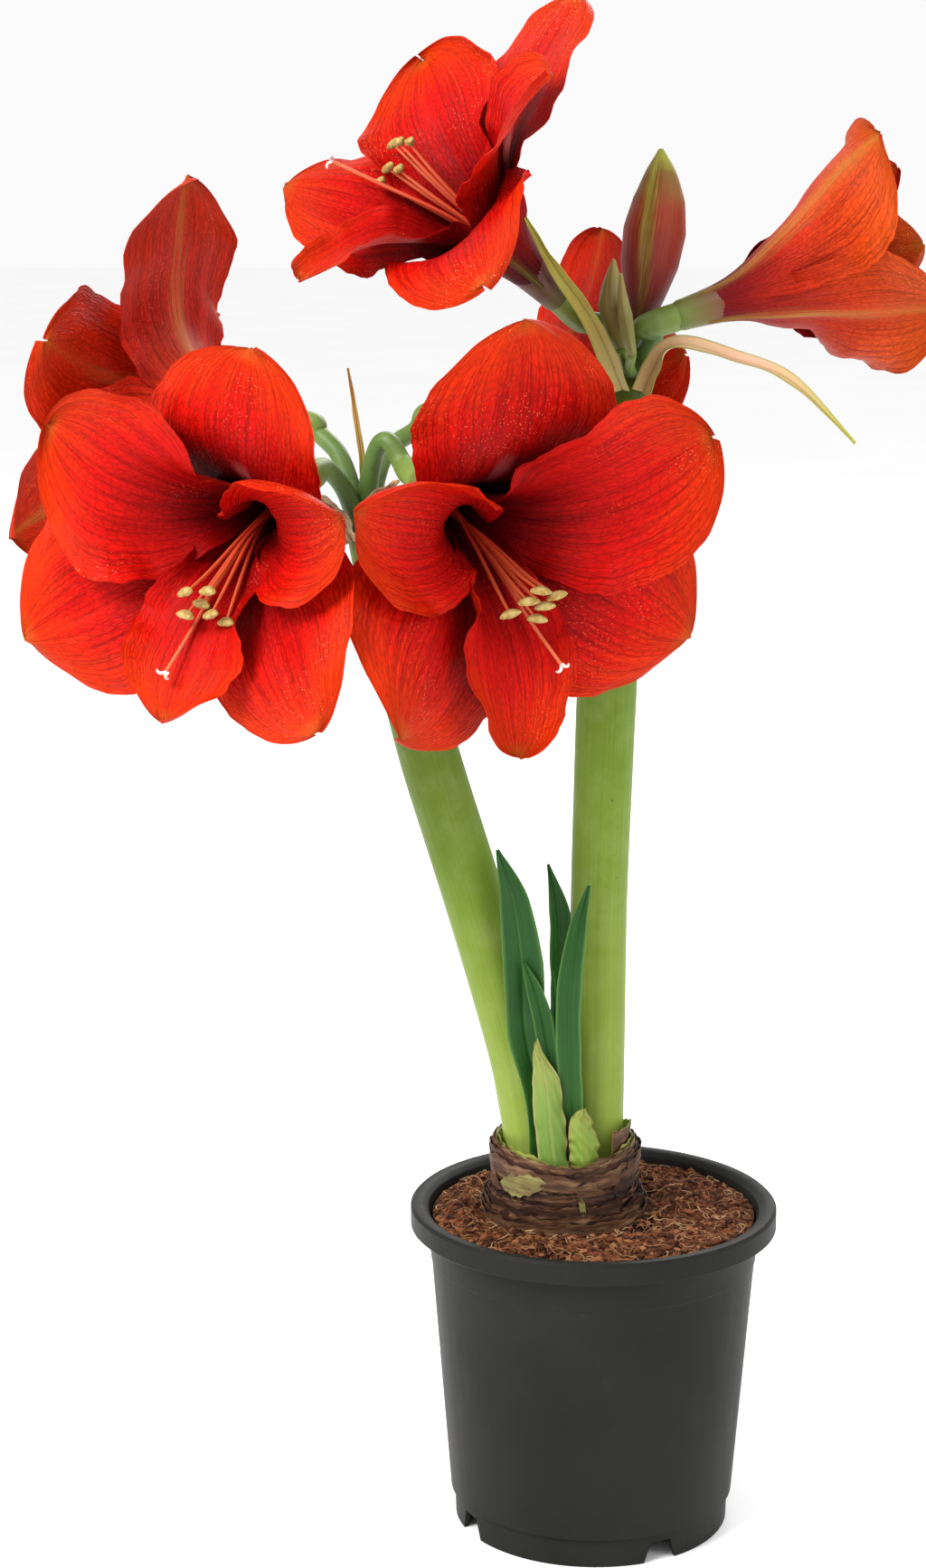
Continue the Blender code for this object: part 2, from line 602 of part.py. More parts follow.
def make_stamens(key, flower, layout, collection, orange):
    name = "stamens_" + key.lower()
    axis, right, up = flower_frame(flower)
    base = np.asarray(flower.base, float)
    ring = []
    for z, r in ((STAMEN_FLOOR, 2.6), (STAMEN_FLOOR + 2.4, 2.4)):
        ring.append((base + z * axis, r))
    pieces = [limb(name, [p for p, _ in ring], [r for _, r in ring], 8, 2, collection)]
    for k, end in enumerate(layout.anthers):
        turn = math.radians(60 * k + 30)
        start = (1.5 * math.sin(turn), 1.5 * math.cos(turn))
        path = filament_path(flower, start, end, layout.fall, 0.6)
        pieces.append(limb(f"{name}_f{k}", path, (FILAMENT,) * 5, 3, 6, collection))
        along = unit(0.9 * right + (0.35 - 0.2 * (k % 3)) * up + 0.2 * axis)
        centre = base + end[0] * axis + end[1] * right + end[2] * up
        pieces.append(anther(f"{name}_a{k}", centre, along, collection))
    path = filament_path(flower, (0, 0), layout.stigma, layout.fall, 0.0)
    pieces.append(limb(name + "_style", path, (0.9, 0.8, 0.75, 0.75, 1.4), 3, 7, collection))
    made = fused(name, pieces, collection)
    put_material(made, orange)
    return made


def make_stalk(name, stalk, keys, collection, green, extra=None):
    pieces = [limb(name, [p for p, _ in stalk], [r for _, r in stalk], 12, 11, collection)]
    for key in keys:
        flower = FLOWERS[key]
        axis = flower_frame(flower)[0]
        base = np.asarray(flower.base, float)
        path = list(PEDICELS[key]) + [base - OVARY_LENGTH * axis, base - 0.5 * OVARY_LENGTH * axis,
                                      base - GAP * axis]
        radii = (PEDICEL_RADIUS * 1.15, PEDICEL_RADIUS, PEDICEL_RADIUS, PEDICEL_RADIUS * 1.1,
                 OVARY_RADIUS, OVARY_RADIUS * 0.95)
        pieces.append(limb(f"{name}_{key}", path, radii, 8, 9, collection))
    if extra:
        for k, (path, radii) in enumerate(extra):
            pieces.append(limb(f"{name}_stub{k}", path, radii, 8, 4, collection))
    made = fused(name, pieces, collection)
    put_material(made, green)
    return made


def strip_grid(strip, rows, columns):
    centres, where = spline(strip.path, rows + 1)
    halves = np.interp(where, range(len(strip.halves)), strip.halves)
    tangents = np.gradient(centres, axis=0)
    place = np.linspace(-1, 1, columns + 1)
    grid = np.zeros((rows + 1, columns + 1, 3))
    for i in range(rows + 1):
        tangent = unit(tangents[i])
        side = unit(np.cross(tangent, strip.faces))
        front = np.cross(side, tangent)
        # A fold over zero brings both edges towards the side that the face looks to.
        lift = strip.fold * halves[i] * np.abs(place) ** 1.3
        grid[i] = centres[i] + (place * halves[i])[:, None] * side + lift[:, None] * front
    return grid


def make_strip(name, strip, collection, made):
    grid = strip_grid(strip, strip.rows, strip.columns)
    body = applied(sheet(name, grid, strip.thickness, collection))
    put_material(body, made)
    return body


def make_pot(collection):
    line = LINE_HEIGHT
    lip = POT_HEIGHT - RIM_DROP
    slope = (WALL_TOP_RADIUS - WALL_FOOT_RADIUS) / (POT_HEIGHT - FOOT_HEIGHT)
    at_line = WALL_FOOT_RADIUS + slope * (line - FOOT_HEIGHT)
    profile = [
        (0, BASE_HEIGHT + BASE_PLATE),
        (WALL_FOOT_RADIUS - 3.4, BASE_HEIGHT + BASE_PLATE),
        (WALL_FOOT_RADIUS - WALL, FOOT_HEIGHT + 2.4),
        (WALL_TOP_RADIUS - WALL, POT_HEIGHT - 5.5),
        (WALL_TOP_RADIUS - 0.4, POT_HEIGHT - 2.2),
        (RIM_INNER_RADIUS, POT_HEIGHT - 0.6),
        (RIM_INNER_RADIUS + 1.6, POT_HEIGHT),
        (RIM_RADIUS - 1.2, POT_HEIGHT),
        (RIM_RADIUS, POT_HEIGHT - 1.2),
        (RIM_RADIUS, lip + 0.4),
        (RIM_RADIUS - 0.4, lip),
        (RIM_RADIUS - 1.6, lip),
        (RIM_RADIUS - 1.8, POT_HEIGHT - 2.4),
        (WALL_TOP_RADIUS + 1.2, POT_HEIGHT - 2.8),
        (WALL_TOP_RADIUS, POT_HEIGHT - 5.0),
        (at_line + LINE_STEP, line + 0.5),
        (at_line, line),
        (WALL_FOOT_RADIUS, FOOT_HEIGHT + 0.8),
        (FOOT_RADIUS, FOOT_HEIGHT - 0.2),
        (FOOT_RADIUS - 0.4, 0),
        (FOOT_RADIUS - 2.0, 0),
        (FOOT_RADIUS - 2.2, BASE_HEIGHT),
        (PAD_RADIUS, BASE_HEIGHT),
        (PAD_RADIUS - 0.6, 0),
        (0, 0),
    ]
    pot = turned("pot", profile, POT_SIDES, collection)
    cutters = []
    for k in range(4):
        turn = math.radians(NOTCH_CLOCK + 90 * k)
        out = np.array([math.sin(turn), -math.cos(turn), 0])
        side = np.array([math.cos(turn), math.sin(turn), 0])
        points = []
        for distance in (FOOT_RADIUS - 5, FOOT_RADIUS + 4):
            for half, height in (
                (-NOTCH_FOOT / 2, -1), (NOTCH_FOOT / 2, -1),
                (NOTCH_TOP / 2, NOTCH_HEIGHT), (-NOTCH_TOP / 2, NOTCH_HEIGHT),
            ):
                points.append(out * distance + side * half + np.array([0, 0, height]))
        faces = [(0, 1, 2, 3), (4, 7, 6, 5), (0, 4, 5, 1), (1, 5, 6, 2), (2, 6, 7, 3), (3, 7, 4, 0)]
        cutters.append(mesh_object(f"notch_{k}", points, faces, collection))
    for k in range(6):
        turn = math.radians(60 * k)
        x, y = DRAIN_CIRCLE * math.sin(turn), -DRAIN_CIRCLE * math.cos(turn)
        path = ((x, y, BASE_HEIGHT - 2), (x, y, BASE_HEIGHT + BASE_PLATE + 2))
        cutters.append(limb(f"drain_{k}", path, (DRAIN_RADIUS,) * 2, 12, 2, collection))
    for cutter in cutters:
        outward(cutter)
    pot = fused("pot", [pot] + cutters, collection, "DIFFERENCE")
    put_material(pot, material("pot_plastic", POT_BLACK, 0.35))
    return pot


def outward(obj):
    """Turns a closed mesh's faces outwards where they all point in."""
    mesh = obj.data
    mesh.calc_loop_triangles()
    volume = 0.0
    for triangle in mesh.loop_triangles:
        a, b, c = (mesh.vertices[i].co for i in triangle.vertices)
        volume += a.dot(b.cross(c))
    if volume < 0:
        mesh.flip_normals()
    return obj


def soil_height(x, y):
    """Relief of the soil, in millimetres: mounded at the bulb, lumpy elsewhere."""
    near = math.hypot(x - BULB_X, y)
    mound = SOIL_RISE * math.exp(-((max(near - 34, 0) / 18) ** 2))
    lumps = (0.9 * math.sin(0.19 * x + 1.1) * math.cos(0.23 * y + 0.4)
             + 0.6 * math.sin(0.41 * x - 0.33 * y) + 0.4 * math.cos(0.52 * y + 0.37 * x + 2.0))
    edge = smooth((66.0 - math.hypot(x, y)) / 10)
    return SOIL_EDGE + (mound + lumps + 0.8) * float(edge)


def inner_radius(height):
    """The pot's inner radius at a height above its base plate."""
    low, high = FOOT_HEIGHT + 2.4, POT_HEIGHT - 5.5
    share = (height - low) / (high - low)
    return WALL_FOOT_RADIUS - WALL + share * (WALL_TOP_RADIUS - WALL_FOOT_RADIUS)


def make_soil(collection, bulb_profile):
    floor = BASE_HEIGHT + BASE_PLATE + GAP
    sides = 28
    rings = [(WALL_FOOT_RADIUS - 6.5, floor), (inner_radius(18) - 0.8, 18.0)]
    points, faces = [(0, 0, floor)], []
    previous = None
    for radius, height in rings:
        start = len(points)
        for k in range(sides):
            turn = 2 * math.pi * k / sides
            points.append((radius * math.cos(turn), radius * math.sin(turn), height))
        for k in range(sides):
            n = (k + 1) % sides
            if previous is None:
                faces.append((0, start + n, start + k))
            else:
                faces.append((previous + k, previous + n, start + n, start + k))
        previous = start
    for radius in (inner_radius(SOIL_EDGE) - 0.8, 60, 53, 46, 39):
        start = len(points)
        for k in range(sides):
            turn = 2 * math.pi * k / sides
            x, y = radius * math.cos(turn), radius * math.sin(turn)
            points.append((x, y, soil_height(x, y)))
        for k in range(sides):
            n = (k + 1) % sides
            faces.append((previous + k, previous + n, start + n, start + k))
        previous = start
    points.append((0, 0, soil_height(0, 0)))
    for k in range(sides):
        faces.append((previous + k, previous + (k + 1) % sides, len(points) - 1))
    soil = outward(mesh_object("soil", points, faces, collection))
    hole = [(0, 175)] + [(r + 0.9, z) for z, r in reversed(bulb_profile)]
    hole[1] = (hole[1][0], 175)
    hole += [(bulb_profile[0][1] + 0.5, bulb_profile[0][0] - 0.6), (0, bulb_profile[0][0] - 0.6)]
    cutter = turned("bulb_hole", hole, 24, collection, (BULB_X, 0.0))
    outward(applied(cutter))
    soil = fused("soil", [soil, cutter], collection, "DIFFERENCE")
    put_material(soil, material("soil_coir", SOIL_BROWN, 0.95))
    return soil


def make_bulb(collection):
    profile = [(0, PIT_FLOOR), (PIT_RADIUS - 0.3, PIT_FLOOR), (PIT_RADIUS, NECK_TOP - 0.6),
               (PIT_RADIUS + 0.5, NECK_TOP + 0.2)]
    profile += [(r, z) for z, r in reversed(BULB_PROFILE)]
    profile += [(0, BULB_PROFILE[0][0])]
    bulb = turned("bulb", profile, 24, collection, (BULB_X, 0.0))
    outward(applied(bulb))
    put_material(bulb, material("bulb_tunic", BULB_BROWN, 0.7))
    return bulb


def make_neck_scale(collection):
    """A loose inner scale, standing in the neck round the right stalk."""
    turns = np.radians(np.linspace(46, 205, 17))
    rows = 3
    grid = np.zeros((rows + 1, len(turns), 3))
    for j, turn in enumerate(turns):
        top = 169.5 + 2.2 * math.sin(2.1 * turn + 0.6) + 1.3 * math.sin(5.3 * turn)
        for i in range(rows + 1):
            height = PIT_FLOOR + GAP + 0.2 + (top - PIT_FLOOR) * i / rows
            radius = PIT_RADIUS - 1.3 + 0.5 * math.sin(3.1 * turn + i) * (i / rows)
            grid[i, j] = (BULB_X + radius * math.sin(turn), -radius * math.cos(turn), height)
    body = applied(sheet("neck_scale", grid, 0.9, collection))
    put_material(body, material("neck_scale_tan", SCALE_TAN, 0.6))
    return body


def main():
    for obj in list(bpy.data.objects):
        bpy.data.objects.remove(obj)
    scene = bpy.context.scene
    scene.unit_settings.system = "METRIC"
    plant = bpy.data.collections.new("amaryllis_in_pot")
    scene.collection.children.link(plant)

    make_pot(plant)
    make_soil(plant, BULB_PROFILE)
    make_bulb(plant)
    make_neck_scale(plant)

    green = material("stalk_green", STALK_GREEN, 0.45)
    make_stalk("stalk_left", STALK_LEFT, "CBAH", plant, green)
    make_stalk("stalk_right", STALK_RIGHT, "EG", plant, green, BUD_STUBS)

    red = material("petal_red", PETAL_RED, 0.5)
    orange = material("stamen_orange", STAMEN_ORANGE, 0.5)
    for key, flower in FLOWERS.items():
        make_perianth(key, flower, plant, red)
        make_stamens(key, flower, STAMENS[key], plant, orange)

    olive = material("bud_olive", BUD_OLIVE, 0.5)
    for name, bud, sides in (("bud_large", BUD, 12), ("bud_small", SMALL_BUD, 9),
                             ("bud_narrow", NARROW_BUD, 8)):
        made = limb(name, [p for p, _ in bud], [r for _, r in bud], sides, 9, plant)
        put_material(made, olive)

    leaf = material("leaf_green", LEAF_GREEN, 0.4)
    cream = material("bract_cream", BRACT_CREAM, 0.6)
    scale = material("scale_green", SCALE_TAN, 0.6)
    for name, strip in STRIPS.items():
        look = leaf if name.startswith("leaf") else cream if name.startswith("bract") else scale
        make_strip(name, strip, plant, look)


main()
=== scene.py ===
"""The looks of a potted amaryllis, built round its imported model.

Frame: metres, +Z up, the origin on the floor under the pot's axis, -Y towards the viewer.
Sizes are written in millimetres and turned into metres where a mesh is made.
"""

import json
import math
from collections import namedtuple

import bmesh
import bpy
import numpy as np
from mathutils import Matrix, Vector

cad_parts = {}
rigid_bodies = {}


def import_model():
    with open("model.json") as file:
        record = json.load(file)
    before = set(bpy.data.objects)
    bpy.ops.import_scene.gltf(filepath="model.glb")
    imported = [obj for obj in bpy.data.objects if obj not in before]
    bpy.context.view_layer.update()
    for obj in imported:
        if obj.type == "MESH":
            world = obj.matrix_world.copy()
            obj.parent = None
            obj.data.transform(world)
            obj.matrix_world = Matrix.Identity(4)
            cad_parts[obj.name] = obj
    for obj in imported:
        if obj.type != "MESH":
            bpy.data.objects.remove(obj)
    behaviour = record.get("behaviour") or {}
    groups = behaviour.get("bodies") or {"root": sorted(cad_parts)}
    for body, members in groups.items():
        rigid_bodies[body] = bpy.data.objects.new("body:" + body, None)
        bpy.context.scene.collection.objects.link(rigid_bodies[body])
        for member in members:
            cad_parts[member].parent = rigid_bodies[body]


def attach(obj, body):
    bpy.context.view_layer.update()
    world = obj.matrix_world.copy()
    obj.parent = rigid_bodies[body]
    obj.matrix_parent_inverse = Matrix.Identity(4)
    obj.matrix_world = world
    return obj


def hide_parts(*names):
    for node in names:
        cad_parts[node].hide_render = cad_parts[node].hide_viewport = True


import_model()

MM = 0.001
GAP = 0.3  # clearance between touching pieces

# Pot
POT_HEIGHT = 135.0
RIM_RADIUS = 75.0
RIM_DROP = 9.0
RIM_INNER_RADIUS = 69.5
WALL_TOP_RADIUS = 68.2
WALL_FOOT_RADIUS = 58.4
WALL = 1.5
FOOT_RADIUS = 56.8
FOOT_HEIGHT = 11.5
BASE_HEIGHT = 9.0  # underside of the raised base plate
BASE_PLATE = 1.8
LINE_HEIGHT = 112.0
LINE_STEP = 0.35
PAD_RADIUS = 15.0
NOTCH_CLOCK = 27.5  # degrees to the right of the front
NOTCH_TOP = 9.0
NOTCH_FOOT = 15.0
NOTCH_HEIGHT = 8.6
DRAIN_RADIUS = 4.0
DRAIN_CIRCLE = 38.0
DRAIN_SIDES = 12
DRAIN_CLOCK = 13.3  # degrees to the first corner of a drain hole
POT_SIDES = 168
POT_SHARP = 28  # degrees from which an edge stays sharp

# Soil and bulb
SOIL_EDGE = 127.0
SOIL_RISE = 3.0
BULB_X = -12.0
PIT_RADIUS = 27.3
PIT_FLOOR = 154.0
NECK_EDGE = 163.3
BANDS_FROM, BANDS_TO = 131.0, 158.5  # heights between which papery bands go round the neck
CRUMBS, FIBRES = 1500, 420
CRUMB_REACH = 65.2
# Radius of the bulb at heights above the pot's foot.
BULB_PROFILE = (
    (56, 8), (58, 20), (66, 33), (80, 40), (98, 42), (112, 40), (122, 37),
    (129, 34.5), (134, 32), (139, 30.4), (146, 29.6), (155, 29.2), (163, 29),
)

# Perianth
TUBE_RADIUS = 4.6
TUBE_ANGLE = 5.0
BEND_AT = (0, 17, 40, 70, 95, 125)
ROOT = 12.0  # a tepal starts this far up the tube's wall
LONGEST = 135
SPACING = 60.0  # degrees between neighbouring tepals
WIDEST_ARC = 70  # degrees of the tube that a tepal wraps to each side
RUFFLE = 1.45  # how far a margin swings, for a tepal with a ruffle of one
TUBE_REACH = 19  # how far along the petals the tube's throat goes

# Bends are the angles of the blade from the flower's axis at 40, 70, 95 and 125 mm along it.
Tepal = namedtuple(
    "Tepal",
    "clock length width bends roll_left roll_right ruffle waves phase",
)
Flower = namedtuple("Flower", "base azimuth lift tepals")

FLOWERS = {
    "C": Flower(
        (-70, -24, 434), 30, -18,
        (
            Tepal(-3, 130, 38, (24, 54, 88, 106), 8, 8, 2.5, 3.0, 0.5),
            Tepal(59, 129, 37, (24, 54, 80, 97), 14, 10, 3.0, 3.0, 1.2),
            Tepal(114, 134, 37, (21, 46, 72, 84), 10, 14, 3.0, 2.5, 2.0),
            Tepal(179, 124, 24, (20, 41, 60, 68), 14, 14, 3.5, 3.5, 0.0),
            Tepal(225, 134, 33, (17, 32, 52, 60), 12, 12, 2.5, 3.0, 2.6),
            Tepal(288, 112, 31, (24, 58, 86, 94), 12, 75, 2.5, 2.5, 0.8),
        ),
    ),
    "B": Flower(
        (-114, -30, 434), -27, -15,
        (
            Tepal(18, 119, 35, (23, 56, 92, 110), 10, 10, 2.5, 3.0, 0.4),
            Tepal(72, 109, 29, (23, 50, 76, 86), 75, 12, 2.5, 2.5, 1.0),
            Tepal(138, 132, 31, (19, 34, 54, 62), 10, 12, 2.5, 3.0, 2.0),
            Tepal(190, 120, 23, (17, 30, 46, 54), 14, 14, 3.5, 3.5, 0.4),
            Tepal(246, 134, 36, (22, 45, 68, 78), 12, 12, 2.5, 3.0, 2.8),
            Tepal(303, 116, 36, (25, 62, 96, 112), 12, 12, 2.5, 3.0, 1.6),
        ),
    ),
    "A": Flower(
        (-122, 22, 452), -122, 2,
        (
            Tepal(0, 130, 37, (26, 72, 98, 100), 8, 8, 3.5, 4.0, 0.0),
            Tepal(67, 117, 29, (25, 64, 96, 112), 12, 12, 3.0, 3.0, 1.0),
            Tepal(125, 130, 33, (21, 46, 67, 71), 12, 12, 3.0, 3.0, 2.0),
            Tepal(179, 111, 22, (20, 43, 65, 74), 14, 14, 3.0, 3.0, 0.4),
            Tepal(223, 120, 28, (21, 49, 77, 88), 12, 12, 3.0, 3.0, 2.8),
            Tepal(303, 105, 28, (24, 55, 83, 95), 12, 12, 3.5, 4.0, 1.6),
        ),
    ),
    "H": Flower(
        (-59, 26, 455), 125, -1,
        (
            Tepal(1, 116, 28, (22, 50, 74, 87), 12, 12, 2.5, 3.0, 0.0),
            Tepal(66, 109, 27, (21, 45, 71, 84), 12, 12, 2.5, 3.0, 1.0),
            Tepal(128, 114, 28, (20, 42, 66, 78), 12, 12, 2.5, 3.0, 2.0),
            Tepal(178, 105, 21, (21, 44, 65, 76), 14, 14, 3.0, 3.0, 0.4),
            Tepal(244, 100, 27, (23, 48, 74, 84), 12, 12, 2.5, 3.0, 2.8),
            Tepal(297, 99, 27, (22, 46, 71, 81), 12, 12, 2.5, 3.0, 1.6),
        ),
    ),
    "E": Flower(
        (-16, -14, 501), -64, 41,
        (
            Tepal(4, 128, 32, (23, 58, 78, 83), 14, 14, 2.5, 3.0, 0.4),
            Tepal(58, 116, 24, (20, 50, 76, 95), 30, 30, 2.5, 3.0, 1.0),
            Tepal(119, 113, 32, (23, 66, 100, 118), 14, 10, 3.0, 3.0, 2.0),
            Tepal(179, 114, 17, (19, 44, 66, 78), 24, 24, 2.5, 3.0, 0.4),
            Tepal(243, 118, 26, (17, 33, 48, 55), 14, 14, 3.0, 3.0, 2.8),
            Tepal(312, 115, 30, (21, 47, 70, 80), 14, 14, 3.0, 3.0, 1.6),
        ),
    ),
    "G": Flower(
        (28, -6, 494.5), 96, 17,
        (
            Tepal(330, 103, 36, (33, 37, 28, 26), 14, 14, 2.5, 3.0, 0.4),
            Tepal(30, 106, 22, (17, 22, 24, 30), 18, 18, 2.0, 3.0, 1.0),
            Tepal(85, 108, 28, (22, 20, 16, 18), 14, 14, 2.5, 3.0, 2.0),
            Tepal(152, 90, 22, (26, 38, 36, 36), 18, 18, 2.0, 3.0, 0.4),
            Tepal(214, 103, 29, (16, 16, 14, 16), 14, 14, 2.5, 3.0, 2.8),
            Tepal(272, 97, 22, (17, 20, 22, 28), 18, 18, 2.0, 3.0, 1.6),
        ),
    ),
}

# Anthers and stigma as (forward along the axis, right, up) from the perianth's base.
Stamens = namedtuple("Stamens", "anthers stigma fall")
HIDDEN_STAMENS = Stamens(
    ((82, -12, -12), (85, -6, -7), (87, 1, -5), (86, 8, -8), (83, 10, -14), (82, -2, -17)),
    (94, 0, -22), 8)
STAMENS = {
    "C": Stamens(((84, -4, -17), (87, 1, -11), (89, 4, -6), (88, 12, -9), (86, 9, -14),
                  (84, 8, -20)), (92, 17, -36), 10),
    "B": Stamens(((86, -4, -11), (88, 7, -9), (84, -7, -21), (84, 4, -20), (81, 8, -24),
                  (80, -2, -18)), (98, -10, -38), 10),
    "A": HIDDEN_STAMENS,
    "H": HIDDEN_STAMENS,
    "E": Stamens(((82, -28, 7), (84, -18, 6), (84, -9, 6), (80, -22, -3), (78, -17, -2),
                  (78, -25, -8)), (96, -30, -14), 5),
    "G": Stamens(((62, -4, -3), (66, -2, 2), (68, 3, 1), (64, 4, -3), (60, 1, -6),
                  (58, -3, 4)), (78, 0, -5), 2),
}
STAMEN_FLOOR = 3.6

# Stalks, as centre points and radii
STALK_LEFT = (
    ((-25.5, 0, 155.6), 11.2), ((-25.5, 0, 162), 11.3), ((-27.6, 0, 177), 11.5),
    ((-31.4, 0, 198), 11.7),
    ((-40.0, 0, 231), 12.0), ((-51.5, 0, 271), 12.2), ((-66.5, 0, 320), 12.1),
    ((-80.3, 0, 371), 11.0), ((-88.5, 0, 402), 9.0), ((-93.2, 0, 419), 7.2),
)
STALK_RIGHT = (
    ((0.6, 0, 154.4), 11.2), ((0.9, 0, 203), 11.2), ((1.1, 0, 260), 11.3),
    ((2.4, 0, 312), 11.6), ((3.6, 0, 349), 11.8), ((6.2, 0, 407), 10.6),
    ((9.6, 0, 448), 8.6), ((12.6, 0, 471), 7.0), ((13.8, 0, 478), 6.6),
)
PEDICELS = {
    "C": ((-92, -2, 418), (-88.5, -4, 440), (-83, -9, 449)),
    "B": ((-95, -3, 416), (-100, -8, 429), (-106, -13, 437)),
    "A": ((-95, 3, 418), (-102, 9, 440), (-112, 16, 449)),
    "H": ((-91, 3, 418), (-84, 12, 441), (-70, 19, 450)),
    "E": ((12, -2, 474), (8, -5, 485), (-2, -10, 494)),
    "G": ((15, -2, 472), (17, -4, 482), (21.5, -5, 488)),
}
BUD_STUBS = (
    (((13, 3, 472), (13.6, 6, 481), (14.6, 7.4, 489.6)), (4.0, 3.6, 3.9)),
    (((12, -2, 473), (9, -9, 477), (7.4, -14.6, 482.6)), (2.6, 2.2, 2.2)),
    (((13, -3, 472), (10.5, -13, 475.5), (11.0, -22.2, 480.6)), (2.6, 2.0, 1.7)),
)
PEDICEL_RADIUS = 3.6
OVARY_RADIUS = 5.4
OVARY_LENGTH = 15.0

# Buds, as centre points, each with a radius
BUD = (
    ((14.7, 7.6, 490.8), 4.4), ((16.4, 7.6, 500), 7.4), ((18.7, 7.2, 514), 11.0),
    ((20.6, 7, 527), 11.9), ((22.2, 7, 539), 9.8), ((22.8, 7, 550), 5.6), ((22.8, 7, 558), 0.9),
)
SMALL_BUD = (
    ((7.2, -15.4, 484.0), 2.4), ((5.2, -17.6, 491), 4.5), ((3.6, -19.4, 500), 5.6),
    ((3.3, -20, 508), 3.8), ((3.7, -20, 517), 0.7),
)
NARROW_BUD = (
    ((11.0, -22.9, 481.7), 1.7), ((9.2, -26.0, 488), 2.5), ((7.8, -28, 496), 2.8),
    ((6.6, -29, 504), 1.8), ((6.0, -29, 512), 0.6),
)

# Strips: centre points, half widths, the way the blade's face looks, its fold and its thickness
Strip = namedtuple("Strip", "path halves faces fold thickness")
STRIPS = {
    "leaf_big": Strip(
        ((-21.5, -15.2, 155), (-23.5, -15.6, 185), (-28.5, -16, 212), (-30, -16, 240),
         (-33.5, -16, 266), (-40, -14.5, 286)),
        (4.5, 5.5, 7.6, 8.3, 6.0, 0.8), (0.15, -1, 0), 0.34, 1.2),
    "leaf_back": Strip(
        ((-13.2, -9.2, 155), (-14.0, -8, 190), (-15.2, -5, 236), (-15.6, -3, 258),
         (-19.6, -1, 277)),
        (3.0, 3.4, 5.2, 4.6, 0.7), (0.5, -1, 0), 0.5, 1.2),
    "leaf_front": Strip(
        ((-5.6, -16.0, 155.2), (-9.0, -19.4, 178), (-11.0, -22.4, 208), (-10.8, -22.6, 234),
         (-7.6, -20.5, 256), (-3.6, -19, 272.5)),
        (3.6, 4.2, 5.2, 5.0, 3.6, 0.7), (-0.3, -1, 0), 0.3, 1.2),
    "leaf_small": Strip(
        ((-18.6, -18.8, 155), (-18.4, -19.0, 190), (-21.2, -19.2, 214), (-25.0, -18.8, 229),
         (-29.2, -19.4, 241)),
        (2.6, 3.0, 4.0, 3.4, 0.6), (0.1, -1, 0), 0.4, 1.1),
    "leaf_thin": Strip(
        ((-13.4, -15.2, 155), (-14.4, -15.4, 190), (-16.6, -15.4, 215), (-17.8, -15.2, 237)),
        (2.0, 2.2, 2.4, 0.5), (0.2, -1, 0), 0.4, 1.0),
    "cut_sheath": Strip(
        ((-16.5, -24.6, 155.2), (-18.6, -25.4, 176), (-20.4, -25.4, 193), (-24.6, -24.6, 209)),
        (5.6, 6.2, 5.6, 0.8), (0.1, -1, 0), -0.35, 1.1),
    "curled_scale": Strip(
        ((-3.6, -24.0, 155.6), (-4.6, -25.2, 167), (-6.2, -26.4, 177), (-5.2, -28.4, 183)),
        (5.8, 6.0, 4.4, 0.9), (0.2, -1, 0.1), -0.5, 1.0),
    "bract_left": Strip(
        ((8.2, -6.8, 467), (2.6, -15.5, 480), (-5.4, -22.5, 496), (-18.2, -27.5, 513.5),
         (-30.2, -36.5, 533)),
        (3.2, 4.2, 3.6, 2.6, 0.6), (-0.4, -1, -0.3), 0.45, 0.9),
    "bract_right": Strip(
        ((16.3, -7.4, 466), (19.8, -11.7, 475), (24.5, -16, 483), (33, -19.5, 484.5),
         (48, -20, 480), (71, -24, 471.5), (96, -28, 448)),
        (4.0, 4.0, 3.2, 3.2, 3.2, 2.6, 0.6), (0.1, -0.7, 0.7), 0.7, 0.9),
    "bract_dry": Strip(
        ((-96.6, -6.3, 408), (-101.0, -9.8, 418), (-107, -13.4, 424), (-114, -16, 428)),
        (3.0, 3.4, 2.6, 0.6), (-0.3, -1, -0.2), 0.5, 0.8),
    "bract_cream": Strip(
        ((-90.4, -8.9, 407), (-90.6, -14.6, 418), (-86.5, -18.5, 427), (-78.0, -21.5, 433)),
        (3.4, 3.8, 3.0, 0.6), (0.2, -1, -0.2), 0.5, 0.8),
    "bracteole": Strip(
        ((-92.4, 8.8, 411), (-92.6, 11.6, 430), (-95.2, 11, 452), (-98.6, 9, 474)),
        (1.6, 1.4, 1.1, 0.5), (0.2, -1, 0), 0.3, 0.8),
}

# Camera, with the photograph's viewing angle
PHOTO_HEIGHT = 1734
CAMERA_FOCAL = 3392.4  # in pixels of the photograph's frame
CAMERA_HEIGHT = 556.9
CAMERA_PITCH = 0.2032
CAMERA_X = -53.5
CAMERA_DISTANCE = 1200.0
SENSOR = 36.0  # the camera's, in millimetres


def unit(vector):
    vector = np.asarray(vector, float)
    return vector / max(np.linalg.norm(vector), 1e-9)


def smooth(value):
    value = np.clip(value, 0.0, 1.0)
    return value * value * (3.0 - 2.0 * value)


def mesh_object(name, points, faces, collection):
    mesh = bpy.data.meshes.new(name)
    mesh.from_pydata([tuple(p) for p in np.asarray(points, float) * MM], [], faces)
    made = bpy.data.objects.new(name, mesh)
    collection.objects.link(made)


def prism(name, near, far, collection):
    """A closed body between two outlines, both anticlockwise as seen from the far end."""
    count = len(near)
    faces = [tuple(range(count))[::-1], tuple(range(count, 2 * count))]
    for k in range(count):
        n = (k + 1) % count
        faces.append((k, n, n + count, k + count))
    mesh_object(name, near + far, faces, collection)


